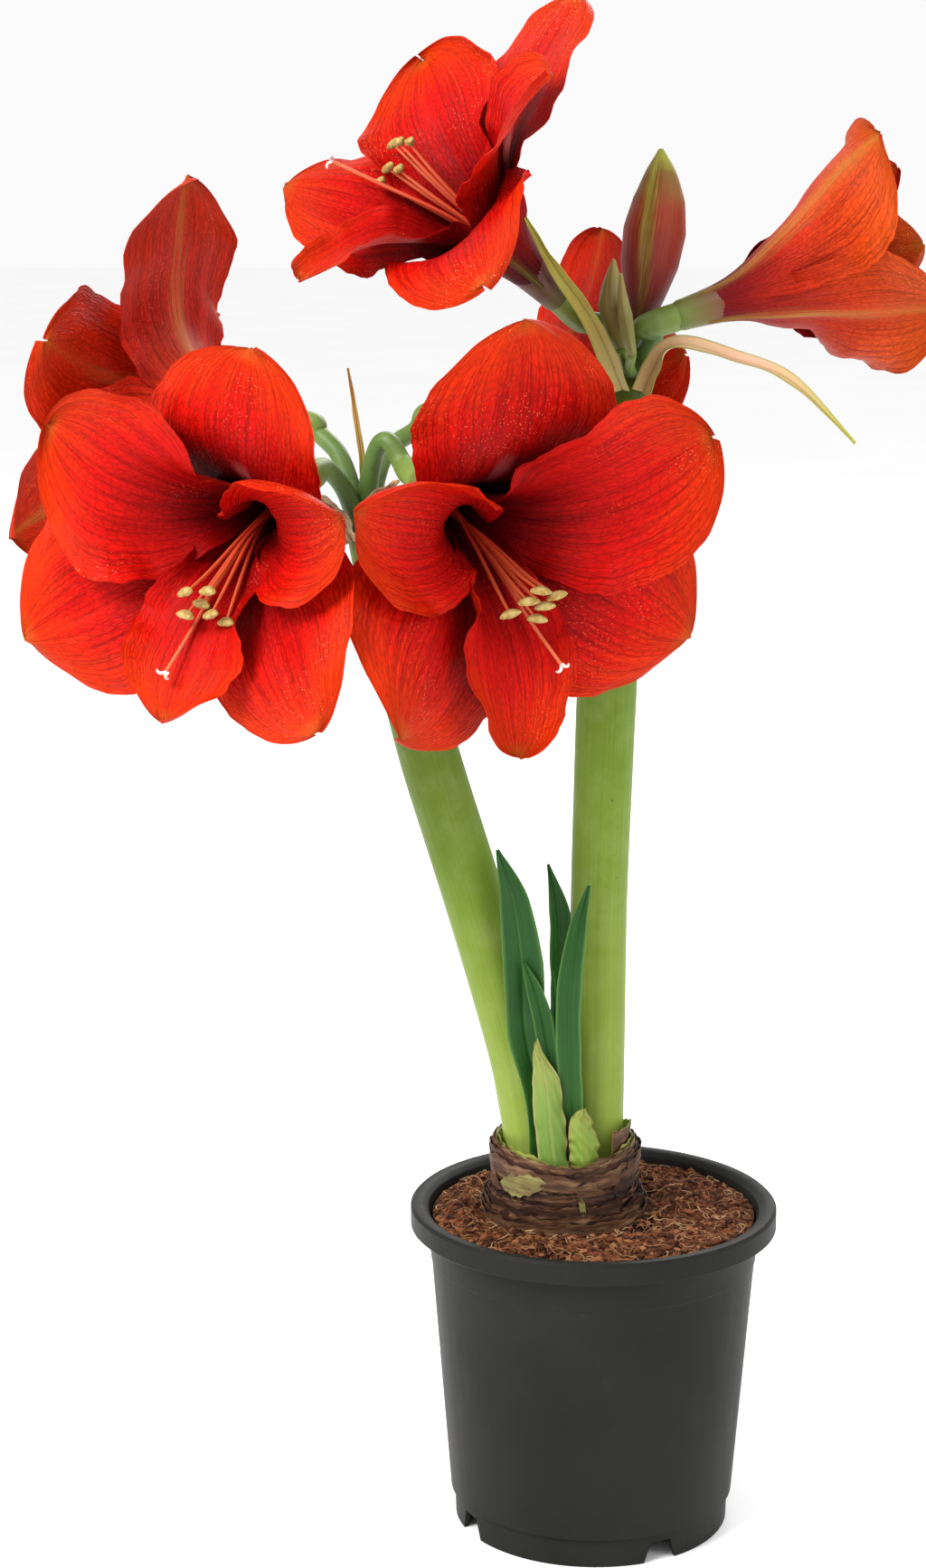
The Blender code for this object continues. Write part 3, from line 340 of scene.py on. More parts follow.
def turned(name, profile, sides, collection):
    """A closed profile from the axis round to the axis, turned about the z axis."""
    points = [(x * MM, 0.0, z * MM) for x, z in profile]
    mesh = bpy.data.meshes.new(name)
    mesh.from_pydata(points, [(i, i + 1) for i in range(len(points) - 1)], [])
    made = bpy.data.objects.new(name, mesh)
    collection.objects.link(made)
    screw = made.modifiers.new("Screw", "SCREW")
    screw.axis = "Z"
    screw.steps = screw.render_steps = sides
    screw.use_merge_vertices = True
    screw.merge_threshold = 0.0001
    screw.use_smooth_shade = False
    return made


def carve(body, tools):
    """Cuts a collection's objects out of the body, applies its modifiers and drops the tools."""
    boolean = body.modifiers.new("Boolean", "BOOLEAN")
    boolean.operation = "DIFFERENCE"
    boolean.operand_type = "COLLECTION"
    boolean.collection = tools
    boolean.solver = "MANIFOLD"
    bpy.context.view_layer.update()
    graph = bpy.context.evaluated_depsgraph_get()
    mesh = bpy.data.meshes.new_from_object(body.evaluated_get(graph))
    body.modifiers.clear()
    body.data = mesh
    for tool in list(tools.objects):
        bpy.data.objects.remove(tool)
    bpy.data.collections.remove(tools)


def ring_turns(sides):
    return 2 * math.pi * np.arange(sides) / sides


def spline(points, count):
    """Points spread evenly along a Catmull-Rom curve through the given ones, and their places."""
    points = np.asarray(points, float)
    ends = np.vstack([2 * points[0] - points[1], points, 2 * points[-1] - points[-2]])
    place = np.linspace(0, len(points) - 1, 200)
    out = []
    for t in place:
        i = min(int(t), len(points) - 2)
        u = t - i
        a, b, c, d = ends[i : i + 4]
        out.append(
            0.5 * (2 * b + (c - a) * u + (2 * a - 5 * b + 4 * c - d) * u * u
                   + (3 * b - a - 3 * c + d) * u ** 3)
        )
    out = np.array(out)
    walk = np.concatenate([[0], np.cumsum(np.linalg.norm(np.diff(out, axis=0), axis=1))])
    want = np.linspace(0, walk[-1], count)
    where = np.interp(want, walk, place)
    return np.array([np.interp(want, walk, out[:, k]) for k in range(3)]).T, where


def flower_frame(flower):
    """The axis, right and up of a flower, right and up as seen by someone facing it."""
    azimuth, lift = math.radians(flower.azimuth), math.radians(flower.lift)
    axis = np.array([
        math.sin(azimuth) * math.cos(lift), -math.cos(azimuth) * math.cos(lift), math.sin(lift)
    ])
    right = unit(np.cross((0, 0, 1), axis))
    return axis, right, np.cross(axis, right)


def profiles(flower):
    """Each tepal's radius, reach along the axis and angle, at every millimetre along it."""
    walk = np.arange(LONGEST + 1.0)
    out = []
    for tepal in flower.tepals:
        angle = np.radians(np.interp(walk, BEND_AT, (TUBE_ANGLE, TUBE_ANGLE + 4) + tepal.bends))
        radius = TUBE_RADIUS + np.concatenate([[0], np.cumsum(np.sin(angle))[:-1]])
        reach = np.concatenate([[0], np.cumsum(np.cos(angle))[:-1]])
        out.append((radius, reach, angle))
    return np.array(out)


def layer_offset(walk, layer):
    return layer * (0.5 + 0.9 * smooth((walk - 17) / 25) + 1.6 * smooth((walk - 45) / 50))


def half_width(tepal, walk, radius):
    share = walk / tepal.length
    shape = np.where(
        share < 0.6,
        1 - 0.18 * (1 - share / 0.6) ** 2,
        np.clip(1 - np.clip((share - 0.6) / 0.4, 0, 1) ** 2.9, 0, 1) ** 0.66,
    )
    wide = tepal.width * shape + 1e-6
    limit = math.radians(WIDEST_ARC) * radius
    return np.maximum((wide ** -4 + limit ** -4) ** -0.25, 0.45)


def row_walk(tepal, rows):
    """How far along a tepal each row of its grid lies, closer together at the tip."""
    return ROOT + (tepal.length - ROOT) * (1 - (1 - np.arange(rows + 1) / rows) ** 1.45)


def tepal_grid(flower, index, rows, columns):
    """Points of a tepal's middle surface in millimetres, rows along it and columns across."""
    tepal = flower.tepals[index]
    layer = 1 if index % 2 else -1
    axis, right, up = flower_frame(flower)
    curves = profiles(flower)
    clocks = np.array([t.clock for t in flower.tepals], float)
    walk = row_walk(tepal, rows)
    along = range(LONGEST + 1)
    mid_radius = np.interp(walk, along, curves[index, 0])
    half = half_width(tepal, walk, mid_radius)
    share = walk / tepal.length
    fine = np.linspace(-1, 1, 81)
    grid = np.zeros((rows + 1, columns + 1, 3))
    place = np.linspace(-1, 1, columns + 1)
    for i, t in enumerate(walk):
        grow = float(smooth((share[i] - 0.2) / 0.3))
        roll = np.where(fine < 0, tepal.roll_left, tepal.roll_right) * grow
        bend = np.radians(roll) * smooth((np.abs(fine) - 0.15) / 0.85) * layer
        across = np.concatenate([[0], np.cumsum(np.cos(bend[:-1]) * np.diff(fine))])
        across -= np.interp(0, fine, across)
        rise = np.sin(bend[:-1]) * np.sign(fine[:-1]) * np.diff(fine)
        rise = np.concatenate([[0], np.cumsum(rise)])
        rise -= np.interp(0, fine, rise)
        x = np.interp(place, fine, across) * half[i]
        lift = np.interp(place, fine, rise) * half[i] * (1 if layer > 0 else 0.55)
        wave = np.sin(2 * math.pi * tepal.waves * share[i] + tepal.phase + 1.3 * np.sign(place))
        ruffle = RUFFLE * tepal.ruffle * np.abs(place) ** 1.6 * (1 + wave) / 2 * grow
        lift = lift + layer * ruffle + layer_offset(t, layer)
        clock = tepal.clock + np.degrees(x / mid_radius[i])
        lean = (clock[:, None] - clocks[None, :] + 180) % 360 - 180
        weight = smooth(1 - np.abs(lean) / SPACING) + 1e-9
        weight /= weight.sum(axis=1, keepdims=True)
        at = np.array([[np.interp(t, along, c[k]) for k in range(3)] for c in curves])
        radius, reach, angle = (weight @ at).T
        radius = radius - lift * np.cos(angle)
        reach = reach + lift * np.sin(angle)
        turn = np.radians(clock)
        out = np.cos(turn)[:, None] * up + np.sin(turn)[:, None] * right
        grid[i] = np.asarray(flower.base, float) + reach[:, None] * axis + radius[:, None] * out
    return grid


def filament_path(flower, start, end, fall, rise):
    """A filament in the flower's own frame: down the throat's lower side and up at its end."""
    axis, right, up = flower_frame(flower)
    forward, aside, high = end
    places = (
        (STAMEN_FLOOR + 0.6, start[0], start[1]),
        (20, start[0] * 1.1, start[1] - 0.1 * fall),
        (forward * 0.55, aside * 0.25, high * 0.25 - 0.15 * fall),
        (forward * 0.82, aside * 0.66, high * 0.66 - 0.2 * fall),
        (forward, aside, high - rise),
    )
    base = np.asarray(flower.base, float)
    return [base + f * axis + r * right + u * up for f, r, u in places]


def strip_grid(strip, rows, columns):
    centres, where = spline(strip.path, rows + 1)
    halves = np.interp(where, range(len(strip.halves)), strip.halves)
    tangents = np.gradient(centres, axis=0)
    place = np.linspace(-1, 1, columns + 1)
    grid = np.zeros((rows + 1, columns + 1, 3))
    for i in range(rows + 1):
        tangent = unit(tangents[i])
        side = unit(np.cross(tangent, strip.faces))
        front = np.cross(side, tangent)
        # A fold over zero brings both edges towards the side that the face looks to.
        lift = strip.fold * halves[i] * np.abs(place) ** 1.3
        grid[i] = centres[i] + (place * halves[i])[:, None] * side + lift[:, None] * front
    return grid


def soil_height(x, y):
    """Relief of the soil, in millimetres: mounded at the bulb, lumpy elsewhere."""
    near = math.hypot(x - BULB_X, y)
    mound = SOIL_RISE * math.exp(-((max(near - 34, 0) / 18) ** 2))
    lumps = (0.9 * math.sin(0.19 * x + 1.1) * math.cos(0.23 * y + 0.4)
             + 0.6 * math.sin(0.41 * x - 0.33 * y) + 0.4 * math.cos(0.52 * y + 0.37 * x + 2.0))
    edge = smooth((66.0 - math.hypot(x, y)) / 10)
    return SOIL_EDGE + (mound + lumps + 0.8) * float(edge)


def inner_radius(height):
    """The pot's inner radius at a height above its base plate."""
    low, high = FOOT_HEIGHT + 2.4, POT_HEIGHT - 5.5
    share = (height - low) / (high - low)
    return WALL_FOOT_RADIUS - WALL + share * (WALL_TOP_RADIUS - WALL_FOOT_RADIUS)


class Look:
    """A material, with short calls for its nodes."""

    def __init__(self, name, **sockets):
        self.name = name
        self.material = bpy.data.materials.new(name)
        self.material.use_nodes = True
        self.tree = self.material.node_tree
        self.shader = self.tree.nodes["Principled BSDF"]
        for key, value in sockets.items():
            self.put(self.shader.inputs[key.replace("_", " ")], value)

    def put(self, socket, value):
        if isinstance(value, bpy.types.NodeSocket):
            self.tree.links.new(value, socket)
        elif isinstance(value, tuple) and len(value) == 3 and socket.type == "RGBA":
            socket.default_value = value + (1.0,)
        else:
            socket.default_value = value

    def add(self, kind, settings=None, **sockets):
        node = self.tree.nodes.new("ShaderNode" + kind)
        for key, value in (settings or {}).items():
            setattr(node, key, value)
        for key, value in sockets.items():
            self.put(node.inputs[key.replace("_", " ")], value)
        return node

    def math(self, operation, *values, clamp=False):
        node = self.tree.nodes.new("ShaderNodeMath")
        node.operation = operation
        node.use_clamp = clamp
        for socket, value in zip(node.inputs, values):
            self.put(socket, value)
        return node.outputs[0]

    def times(self, value, factor, plus=None, clamp=False):
        if plus is None:
            return self.math("MULTIPLY", value, factor, clamp=clamp)
        return self.math("MULTIPLY_ADD", value, factor, plus, clamp=clamp)

    def sway(self, value, amount, middle):
        """The middle, moved by how far the value is from a half."""
        return self.times(self.math("SUBTRACT", value, 0.5), amount, middle)

    def off_middle(self, value):
        return self.math("ABSOLUTE", self.math("SUBTRACT", value, 0.5))

    def ramp(self, value, *stops):
        """A colour, or a grey from single numbers, for each value between the stops."""
        node = self.add("ValToRGB", Fac=value)
        points = node.color_ramp.elements
        while len(points) < len(stops):
            points.new(0.5)
        for point, (place, colour) in zip(points, stops):
            point.position = place
            point.color = (colour if isinstance(colour, tuple) else (colour,) * 3) + (1.0,)
        return node.outputs[0]

    def mix(self, factor, first, second, blend="MIX"):
        node = self.tree.nodes.new("ShaderNodeMix")
        node.data_type = "RGBA"
        node.blend_type = blend
        for index, value in ((0, factor), (6, first), (7, second)):
            self.put(node.inputs[index], value)
        return node.outputs[2]

    def shade(self, share, colour, value, *stops):
        """The colour darkened by a ramp of greys over the value."""
        return self.mix(share, colour, self.ramp(value, *stops), "MULTIPLY")

    def uv(self, name="UVMap"):
        split = self.add("SeparateXYZ", Vector=self.add("UVMap", {"uv_map": name}).outputs[0])
        return split.outputs[0], split.outputs[1]

    def place(self):
        return self.add("TexCoord").outputs["Object"]

    def vector(self, x, y, z=0.0):
        return self.add("CombineXYZ", X=x, Y=y, Z=z).outputs[0]

    def squeezed(self, vector, scale):
        node = self.add("Mapping", Vector=vector)
        node.inputs["Scale"].default_value = scale
        return node.outputs[0]

    def noise(self, vector, scale, detail=3.0, roughness=0.55):
        return self.add("TexNoise", Vector=vector, Scale=scale, Detail=detail,
                        Roughness=roughness).outputs["Fac"]

    def cells(self, vector, scale, feature="F1"):
        return self.add("TexVoronoi", {"feature": feature}, Vector=vector,
                        Scale=scale).outputs["Distance"]

    def colour(self, value):
        self.put(self.shader.inputs["Base Color"], value)

    def rough(self, value, low, high):
        self.put(self.shader.inputs["Roughness"], self.add(
            "MapRange", Value=value, To_Min=low, To_Max=high).outputs[0])

    def bump(self, height, depth, strength=1.0):
        """Relief of the given depth in millimetres, on top of any that is there already."""
        node = self.add("Bump", Height=height, Distance=depth * MM, Strength=strength)
        normal = self.shader.inputs["Normal"]
        if normal.is_linked:
            self.put(node.inputs["Normal"], normal.links[0].from_socket)
        self.put(normal, node.outputs[0])


class Builder:
    """Gathers closed shells into one mesh, with a UV map and a number for each shell."""

    def __init__(self):
        self.points, self.faces, self.looks = [], [], []
        self.uvs, self.seeds = [], []
        self.count = 0

    def add(self, points, faces, uvs, look=0, seed=(0.0, 0.0)):
        """Faces with a UV for each of their corners."""
        self.points.append(np.asarray(points, float))
        looks = look if hasattr(look, "__len__") else [look] * len(faces)
        for face, corners, each in zip(faces, uvs, looks):
            self.faces.append(tuple(i + self.count for i in face))
            self.looks.append(each)
            self.uvs.extend(corners)
            self.seeds.extend([seed] * len(face))
        self.count += len(points)

    def build(self, name, looks, angle=60):
        mesh = bpy.data.meshes.new(name)
        points = np.concatenate(self.points) * MM
        mesh.from_pydata(points.tolist(), [], self.faces)
        for layer, values in (("UVMap", self.uvs), ("Shell", self.seeds)):
            made = mesh.uv_layers.new(name=layer)
            made.uv.foreach_set("vector", np.asarray(values, np.float32).ravel())
        for look in looks:
            mesh.materials.append(look.material)
        mesh.polygons.foreach_set("material_index", self.looks)
        mesh.polygons.foreach_set("use_smooth", [True] * len(mesh.polygons))
        mesh.set_sharp_from_angle(angle=math.radians(angle))
        mesh.update()
        made = bpy.data.objects.new(name, mesh)
        bpy.context.scene.collection.objects.link(made)
        return made


def kept(piece, slot, *nodes):
    """Rides on the plant and stands for its CAD nodes; the slot is not used."""
    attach(piece, "root")
    if nodes:
        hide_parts(*nodes)
    return piece


def wobble(value, seed, *waves):
    """A smooth irregular wave in the value: pairs of frequency and height."""
    out = 0.0
    for k, (frequency, height) in enumerate(waves):
        out = out + height * np.sin(2 * math.pi * frequency * value + seed * (3.1 + 1.7 * k))
    return out


def grid_normals(grid):
    along = np.gradient(grid, axis=0)
    across = np.gradient(grid, axis=1)
    normals = np.cross(along, across)
    return normals / np.maximum(np.linalg.norm(normals, axis=2, keepdims=True), 1e-9)


def blade(builder, grid, inner, thickness, looks=(0, 1), seed=(0.0, 0.0), share=None):
    """A closed thin blade through a grid; inner is the side that its first look is on."""
    rows, columns = grid.shape[:2]
    place = np.linspace(-1, 1, columns)
    share = np.linspace(0, 1, rows) if share is None else share
    thin = thickness / 2 * (1 - 0.65 * np.abs(place[None, :]) ** 3)
    thin = thin * (1 - 0.5 * share[:, None] ** 4)
    front, back = grid + inner * thin[..., None], grid - inner * thin[..., None]
    points = np.concatenate([front.reshape(-1, 3), back.reshape(-1, 3)])
    half = rows * columns
    u = (place + 1) / 2
    uv = [(u[j], share[i]) for i in range(rows) for j in range(columns)] * 2
    faces, sides = [], []
    middle = (rows // 2, columns // 2)
    step = 1 if np.dot(grid_normals(grid)[middle], inner[middle]) > 0 else -1
    for i in range(rows - 1):
        for j in range(columns - 1):
            a = i * columns + j
            quad = (a, a + columns, a + columns + 1, a + 1)[::step]
            faces += [quad, tuple(k + half for k in quad[::-1])]
            sides += looks
    border = list(range(columns))
    border += [i * columns + columns - 1 for i in range(1, rows)]
    border += [(rows - 1) * columns + j for j in range(columns - 2, -1, -1)]
    border += [i * columns for i in range(rows - 2, 0, -1)]
    for a, b in zip(border, border[1:] + border[:1]):
        faces.append((a, b, b + half, a + half)[::-step])
        sides.append(looks[0])
    builder.add(points, faces, [[uv[k] for k in face] for face in faces], sides, seed)


def ring_quads(levels, sides, closed=False):
    """Quads between rings of points, and their UVs: round the ring, and the rings' levels."""
    faces, uvs = [], []
    count = len(levels)
    for i in range(count if closed else count - 1):
        j = (i + 1) % count
        for k in range(sides):
            n = (k + 1) % sides
            faces.append((i * sides + k, i * sides + n, j * sides + n, j * sides + k))
            left, right = k / sides, (k + 1) / sides
            uvs.append([(left, levels[i]), (right, levels[i]),
                        (right, levels[j]), (left, levels[j])])
    return faces, uvs


def tube(builder, path, radii, sides, rings, look=0, seed=(0.0, 0.0), shape=None, ends=1.0,
         relax=0):
    """A closed round limb along a curve; shape(turn, share) scales its radius."""
    centres, where = spline(path, rings)
    for _ in range(relax):
        centres[1:-1] = (centres[:-2] + 2 * centres[1:-1] + centres[2:]) / 4
    sizes = np.interp(where, range(len(radii)), radii)
    tangents = np.gradient(centres, axis=0)
    side = unit(np.cross(tangents[0], (0.3, 1.0, 0.2)))
    turns = ring_turns(sides)
    points = []
    for i, (centre, size, tangent) in enumerate(zip(centres, sizes, tangents)):
        tangent = unit(tangent)
        side = unit(side - tangent * side.dot(tangent))
        other = np.cross(tangent, side)
        spread = size * (shape(turns, i / (rings - 1)) if shape else np.ones(sides))
        points.append(centre + (spread * np.cos(turns))[:, None] * side
                      + (spread * np.sin(turns))[:, None] * other)
    points.append([centres[0] - unit(tangents[0]) * sizes[0] * 0.35 * ends,
                   centres[-1] + unit(tangents[-1]) * sizes[-1] * 0.35 * ends])
    faces, uvs = ring_quads([i / (rings - 1) for i in range(rings)], sides)
    last = (rings - 1) * sides
    foot, tip = rings * sides, rings * sides + 1
    for k in range(sides):
        n = (k + 1) % sides
        left, right = k / sides, (k + 1) / sides
        faces += [(n, k, foot), (last + k, last + n, tip)]
        uvs += [[(right, 0), (left, 0), (left, 0)], [(left, 1), (right, 1), (left, 1)]]
    builder.add(np.concatenate(points), faces, uvs, look, seed)
    return centres, tangents


def lathe(builder, flower, profile, sides, look=0, seed=(0.0, 0.0)):
    """A closed profile of radius and reach turned about a flower's axis."""
    axis, right, up = flower_frame(flower)
    base = np.asarray(flower.base, float)
    points = []
    for r, z in profile:
        for k in range(sides):
            turn = 2 * math.pi * k / sides
            points.append(base + z * axis + r * (math.cos(turn) * up + math.sin(turn) * right))
    faces, uvs = ring_quads([z / 20 for _, z in profile], sides, closed=True)
    builder.add(points, faces, uvs, look, seed)


# Materials

def petal_look(name, bands_and_painted_light, outer=False, stripe=(0.34, 0.16, 0.04), stripe_share=0.0):
    """One side of a petal: bands of colour along it, with painted shade at the throat and painted
    glow at the margins and tip, veins and a net, painted glints, and a stripe outside.
    """
    look = Look(name, Specular_IOR_Level=0.055)
    u, v = look.uv()
    seed, whorl = look.uv("Shell")
    side = look.off_middle(u)
    shift = look.times(seed, 13.7)
    # The edge of the colour bands wanders from petal to petal.
    wander = look.noise(look.vector(look.times(u, 9.0, shift), v), 3.0, 4.0, 0.6)
    # The bands darken towards the throat and brighten towards the margins and tip: partly the
    # petal's own colour, partly painted shade in the throat and painted glow of lit petal at the
    # margins and tip.
    reach = look.times(side, 0.22, look.sway(wander, 0.36, v))
    colour = look.ramp(reach, *bands_and_painted_light)
    veins = look.vector(look.times(u, 95.0, shift), look.times(v, 3.2), seed)
    lines = look.noise(veins, 1.0, 3.0, 0.6)
    colour = look.shade(0.66, colour, lines, (0.36, 0.34), (0.56, 1.0))
    meshes = look.vector(look.times(u, 42.0, shift), look.times(v, 34.0, look.times(side, 9.0)),
                         seed)
    net = look.cells(meshes, 1.0, "DISTANCE_TO_EDGE")
    colour = look.shade(0.45, colour, net, (0.0, 0.30), (0.17, 1.0))
    if not outer:
        colour = pale_streak(look, colour, v, side, whorl)
    blotch = look.noise(look.place(), 34.0, 3.0)
    colour = look.shade(0.30, colour, blotch, (0.38, 0.62), (0.62, 1.0))
    if outer:
        edge = look.times(v, 0.045, look.sway(lines, 0.38, side))
        band = look.ramp(edge, (0.0, 1.0), (0.03 + stripe_share * 0.10, 0.75),
                         (0.09 + stripe_share * 0.25, 0.0))
        strong = look.times(band, look.times(whorl, 2.0), clamp=True)
        strong = look.times(strong, look.ramp(v, (0.45, 1.0), (0.75, 0.6)))
        tones = look.ramp(v, (0.0, (0.11, 0.18, 0.02)), (0.35, stripe), (0.8, stripe),
                          (1.0, (0.26, 0.26, 0.03)))
        colour = look.mix(look.times(strong, 0.66), colour, tones)
    tip = look.times(look.ramp(v, (0.95, 0.0), (1.0, 1.0)),
                     look.ramp(side, (0.0, 1.0), (0.4, 0.0)))
    colour = look.mix(look.times(tip, 0.35), colour, (0.34, 0.16, 0.02))
    look.colour(painted_glints(look, colour, v))
    look.rough(lines, 0.36, 0.56)
    look.bump(net, 0.45, 0.8)
    look.bump(lines, 0.40, 0.8)
    look.bump(look.noise(look.place(), 260.0, 3.0), 0.16, 0.5)
    return look


def pale_streak(look, colour, v, side, whorl):
    """The streak that some top petals carry where they leave the throat."""
    along = look.ramp(v, (0.34, 0.0), (0.42, 1.0), (0.50, 1.0), (0.58, 0.0))
    streak = look.times(look.ramp(whorl, (0.6, 0.0), (0.7, 1.0)), along)
    streak = look.times(streak, look.ramp(side, (0.02, 1.0), (0.07, 0.0)))
    return look.mix(look.times(streak, 0.6), colour, (0.55, 0.13, 0.12))


def painted_glints(look, colour, v):
    """Small painted glints of cells that catch the light, in patches."""
    speck = look.ramp(look.cells(look.place(), 760.0), (0.11, 1.0), (0.20, 0.0))
    patch = look.ramp(look.noise(look.place(), 26.0, 2.0), (0.52, 0.0), (0.65, 1.0))
    glint = look.times(speck, look.times(patch, look.ramp(v, (0.3, 0.0), (0.75, 1.0))))
    # Painted highlights: pale orange specks mixed into the base colour.
    return look.mix(look.times(glint, 0.75), colour, (0.95, 0.26, 0.10))


def stem_look(name, low, mid, high, streak=0.25, gloss=0.4):
    """A stem's green from foot to top, with fibres, bloom and a few dark dots."""
    look = Look(name, Specular_IOR_Level=gloss)
    u, v = look.uv()
    place = look.place()
    colour = look.ramp(look.sway(look.noise(place, 22.0, 3.0), 0.25, v),
                       (0.0, low), (0.45, mid), (1.0, high))
    turn = look.times(u, 2 * math.pi)
    fibres = look.vector(look.times(look.math("SINE", turn), 22.0), look.times(v, 2.2),
                         look.times(look.math("COSINE", turn), 22.0))
    lines = look.noise(fibres, 1.0, 4.0, 0.65)
    colour = look.shade(streak, colour, lines, (0.35, 0.45), (0.65, 1.0))
    bloom = look.ramp(look.noise(place, 60.0, 4.0, 0.7), (0.45, 0.0), (0.75, 1.0))
    colour = look.mix(look.times(bloom, 0.14), colour, (0.40, 0.46, 0.22))
    dots = look.ramp(look.cells(place, 60.0), (0.03, 1.0), (0.05, 0.0))
    look.colour(look.mix(look.times(dots, 0.7), colour, (0.05, 0.045, 0.01)))
    look.rough(lines, 0.38, 0.52)
    look.bump(lines, 0.25, 0.4)
    look.bump(bloom, 0.08, 0.3)
    return look


def bud_look():
    """Maroon at the foot, yellow-green on the ridges and at the tip."""
    look = Look("bud", Specular_IOR_Level=0.22)
    u, v = look.uv()
    turn = look.times(u, 3.0, look.times(v, 0.25, 0.15))
    ridge = look.times(look.off_middle(look.math("FRACT", turn)), 2.0)
    lines = look.noise(look.vector(look.times(u, 110.0), look.times(v, 3.0)), 1.0, 3.0, 0.6)
    height = look.sway(look.noise(look.place(), 55.0, 3.0), 0.35, v)
    body = look.ramp(height, (0.0, (0.060, 0.010, 0.008)), (0.25, (0.17, 0.010, 0.008)),
                     (0.62, (0.27, 0.034, 0.010)), (0.86, (0.21, 0.12, 0.020)),
                     (1.0, (0.34, 0.36, 0.05)))
    green = look.ramp(height, (0.15, (0.17, 0.08, 0.02)), (0.6, (0.22, 0.20, 0.03)),
                      (1.0, (0.44, 0.46, 0.07)))
    share = look.sway(lines, 0.8, ridge)
    colour = look.mix(look.ramp(share, (0.66, 0.0), (1.0, 0.9)), body, green)
    look.colour(look.shade(0.5, colour, lines, (0.36, 0.45), (0.6, 1.0)))
    look.rough(lines, 0.35, 0.55)
    look.bump(lines, 0.35, 0.6)
    return look


def leaf_look(name, base, mid, tip, edge, vein=0.4):
    """A blade's colour from foot to tip, with veins along it and a paler rim and midrib."""
    look = Look(name, Specular_IOR_Level=0.2)
    u, v = look.uv()
    side = look.off_middle(u)
    colour = look.ramp(look.sway(look.noise(look.place(), 40.0), 0.3, v),
                       (0.0, base), (0.5, mid), (1.0, tip))
    lines = look.noise(look.vector(look.times(u, 34.0), look.times(v, 1.8)), 1.0, 3.0, 0.6)
    colour = look.shade(vein, colour, lines, (0.35, 0.5), (0.62, 1.0))
    rim = look.ramp(side, (0.40, 0.0), (0.5, 1.0))
    colour = look.mix(look.times(rim, 0.8), colour, edge)
    middle = look.ramp(side, (0.0, 1.0), (0.05, 0.0))
    look.colour(look.mix(look.times(middle, 0.35), colour, edge))
    look.rough(lines, 0.30, 0.45)
    look.bump(lines, 0.3, 0.5)
    return look


def paper_look(name, dark, mid, pale, stretch=(1.0, 1.0, 7.0), scale=42.0, depth=0.6):
    """Dry papery skin: streaks along it, torn paler patches and small wrinkles."""
    look = Look(name, Specular_IOR_Level=0.3)
    place = look.place()
    along = look.squeezed(place, stretch)
    streaks = look.noise(along, scale, 6.0, 0.68)
    colour = look.ramp(streaks, (0.34, dark), (0.50, mid), (0.68, pale))
    patches = look.noise(place, 55.0, 4.0, 0.6)
    colour = look.shade(0.6, colour, patches, (0.36, 0.35), (0.62, 1.15))
    fine = look.noise(along, scale * 5, 4.0, 0.6)
    look.colour(look.shade(0.5, colour, fine, (0.36, 0.5), (0.62, 1.1)))
    look.rough(streaks, 0.5, 0.8)
    look.bump(streaks, depth, 0.8)
    look.bump(fine, depth * 0.4, 0.7)
    return look


def filament_look():
    look = Look("filament", Roughness=0.4, Specular_IOR_Level=0.4)
    _, v = look.uv()
    look.colour(look.ramp(v, (0.0, (0.22, 0.005, 0.005)), (0.45, (0.46, 0.022, 0.008)),
                          (1.0, (0.55, 0.11, 0.035))))
    look.bump(look.noise(look.place(), 900.0), 0.1, 0.4)
    return look


def pollen_look():
    look = Look("pollen", Specular_IOR_Level=0.15)
    grains = look.cells(look.place(), 2600.0)
    colour = look.ramp(look.noise(look.place(), 420.0), (0.35, (0.34, 0.19, 0.035)),
                       (0.62, (0.56, 0.42, 0.15)))
    look.colour(look.shade(0.7, colour, grains, (0.1, 1.0), (0.7, 0.6)))
    look.rough(grains, 0.7, 0.95)
    look.bump(grains, 0.3, 0.8)
    return look


def stigma_look():
    look = Look("stigma", Roughness=0.45)
    look.colour(look.ramp(look.noise(look.place(), 800.0), (0.35, (0.62, 0.42, 0.36)),
                          (0.6, (0.72, 0.66, 0.60))))
    look.bump(look.noise(look.place(), 1500.0), 0.15, 0.5)
    return look


def coir_look():
    look = Look("coir", Specular_IOR_Level=0.12)
    place = look.place()
    lumps = look.noise(place, 420.0, 6.0, 0.7)
    colour = look.ramp(lumps, (0.36, (0.008, 0.003, 0.002)), (0.47, (0.055, 0.017, 0.007)),
                       (0.56, (0.16, 0.050, 0.018)), (0.70, (0.30, 0.12, 0.05)))
    look.colour(look.shade(0.5, colour, look.noise(place, 60.0), (0.35, 0.55), (0.65, 1.2)))
    look.rough(lumps, 0.85, 1.0)
    look.bump(lumps, 1.6, 1.0)
    return look


def crumb_look():
    look = Look("crumb", Specular_IOR_Level=0.12)
    seed, _ = look.uv("Shell")
    colour = look.ramp(seed, (0.0, (0.018, 0.006, 0.003)), (0.35, (0.070, 0.022, 0.009)),
                       (0.7, (0.17, 0.056, 0.020)), (1.0, (0.27, 0.115, 0.048)))
    grain = look.noise(look.place(), 900.0, 4.0)
    look.colour(look.shade(0.5, colour, grain, (0.35, 0.4), (0.6, 1.1)))
    look.rough(grain, 0.8, 1.0)
    look.bump(grain, 0.5, 0.9)
    return look


def fibre_look():
    look = Look("fibre", Specular_IOR_Level=0.2)
    seed, _ = look.uv("Shell")
    look.colour(look.ramp(seed, (0.0, (0.10, 0.035, 0.013)), (0.6, (0.22, 0.095, 0.036)),
                          (1.0, (0.42, 0.27, 0.13))))
    look.rough(look.noise(look.place(), 600.0), 0.6, 0.9)
    return look


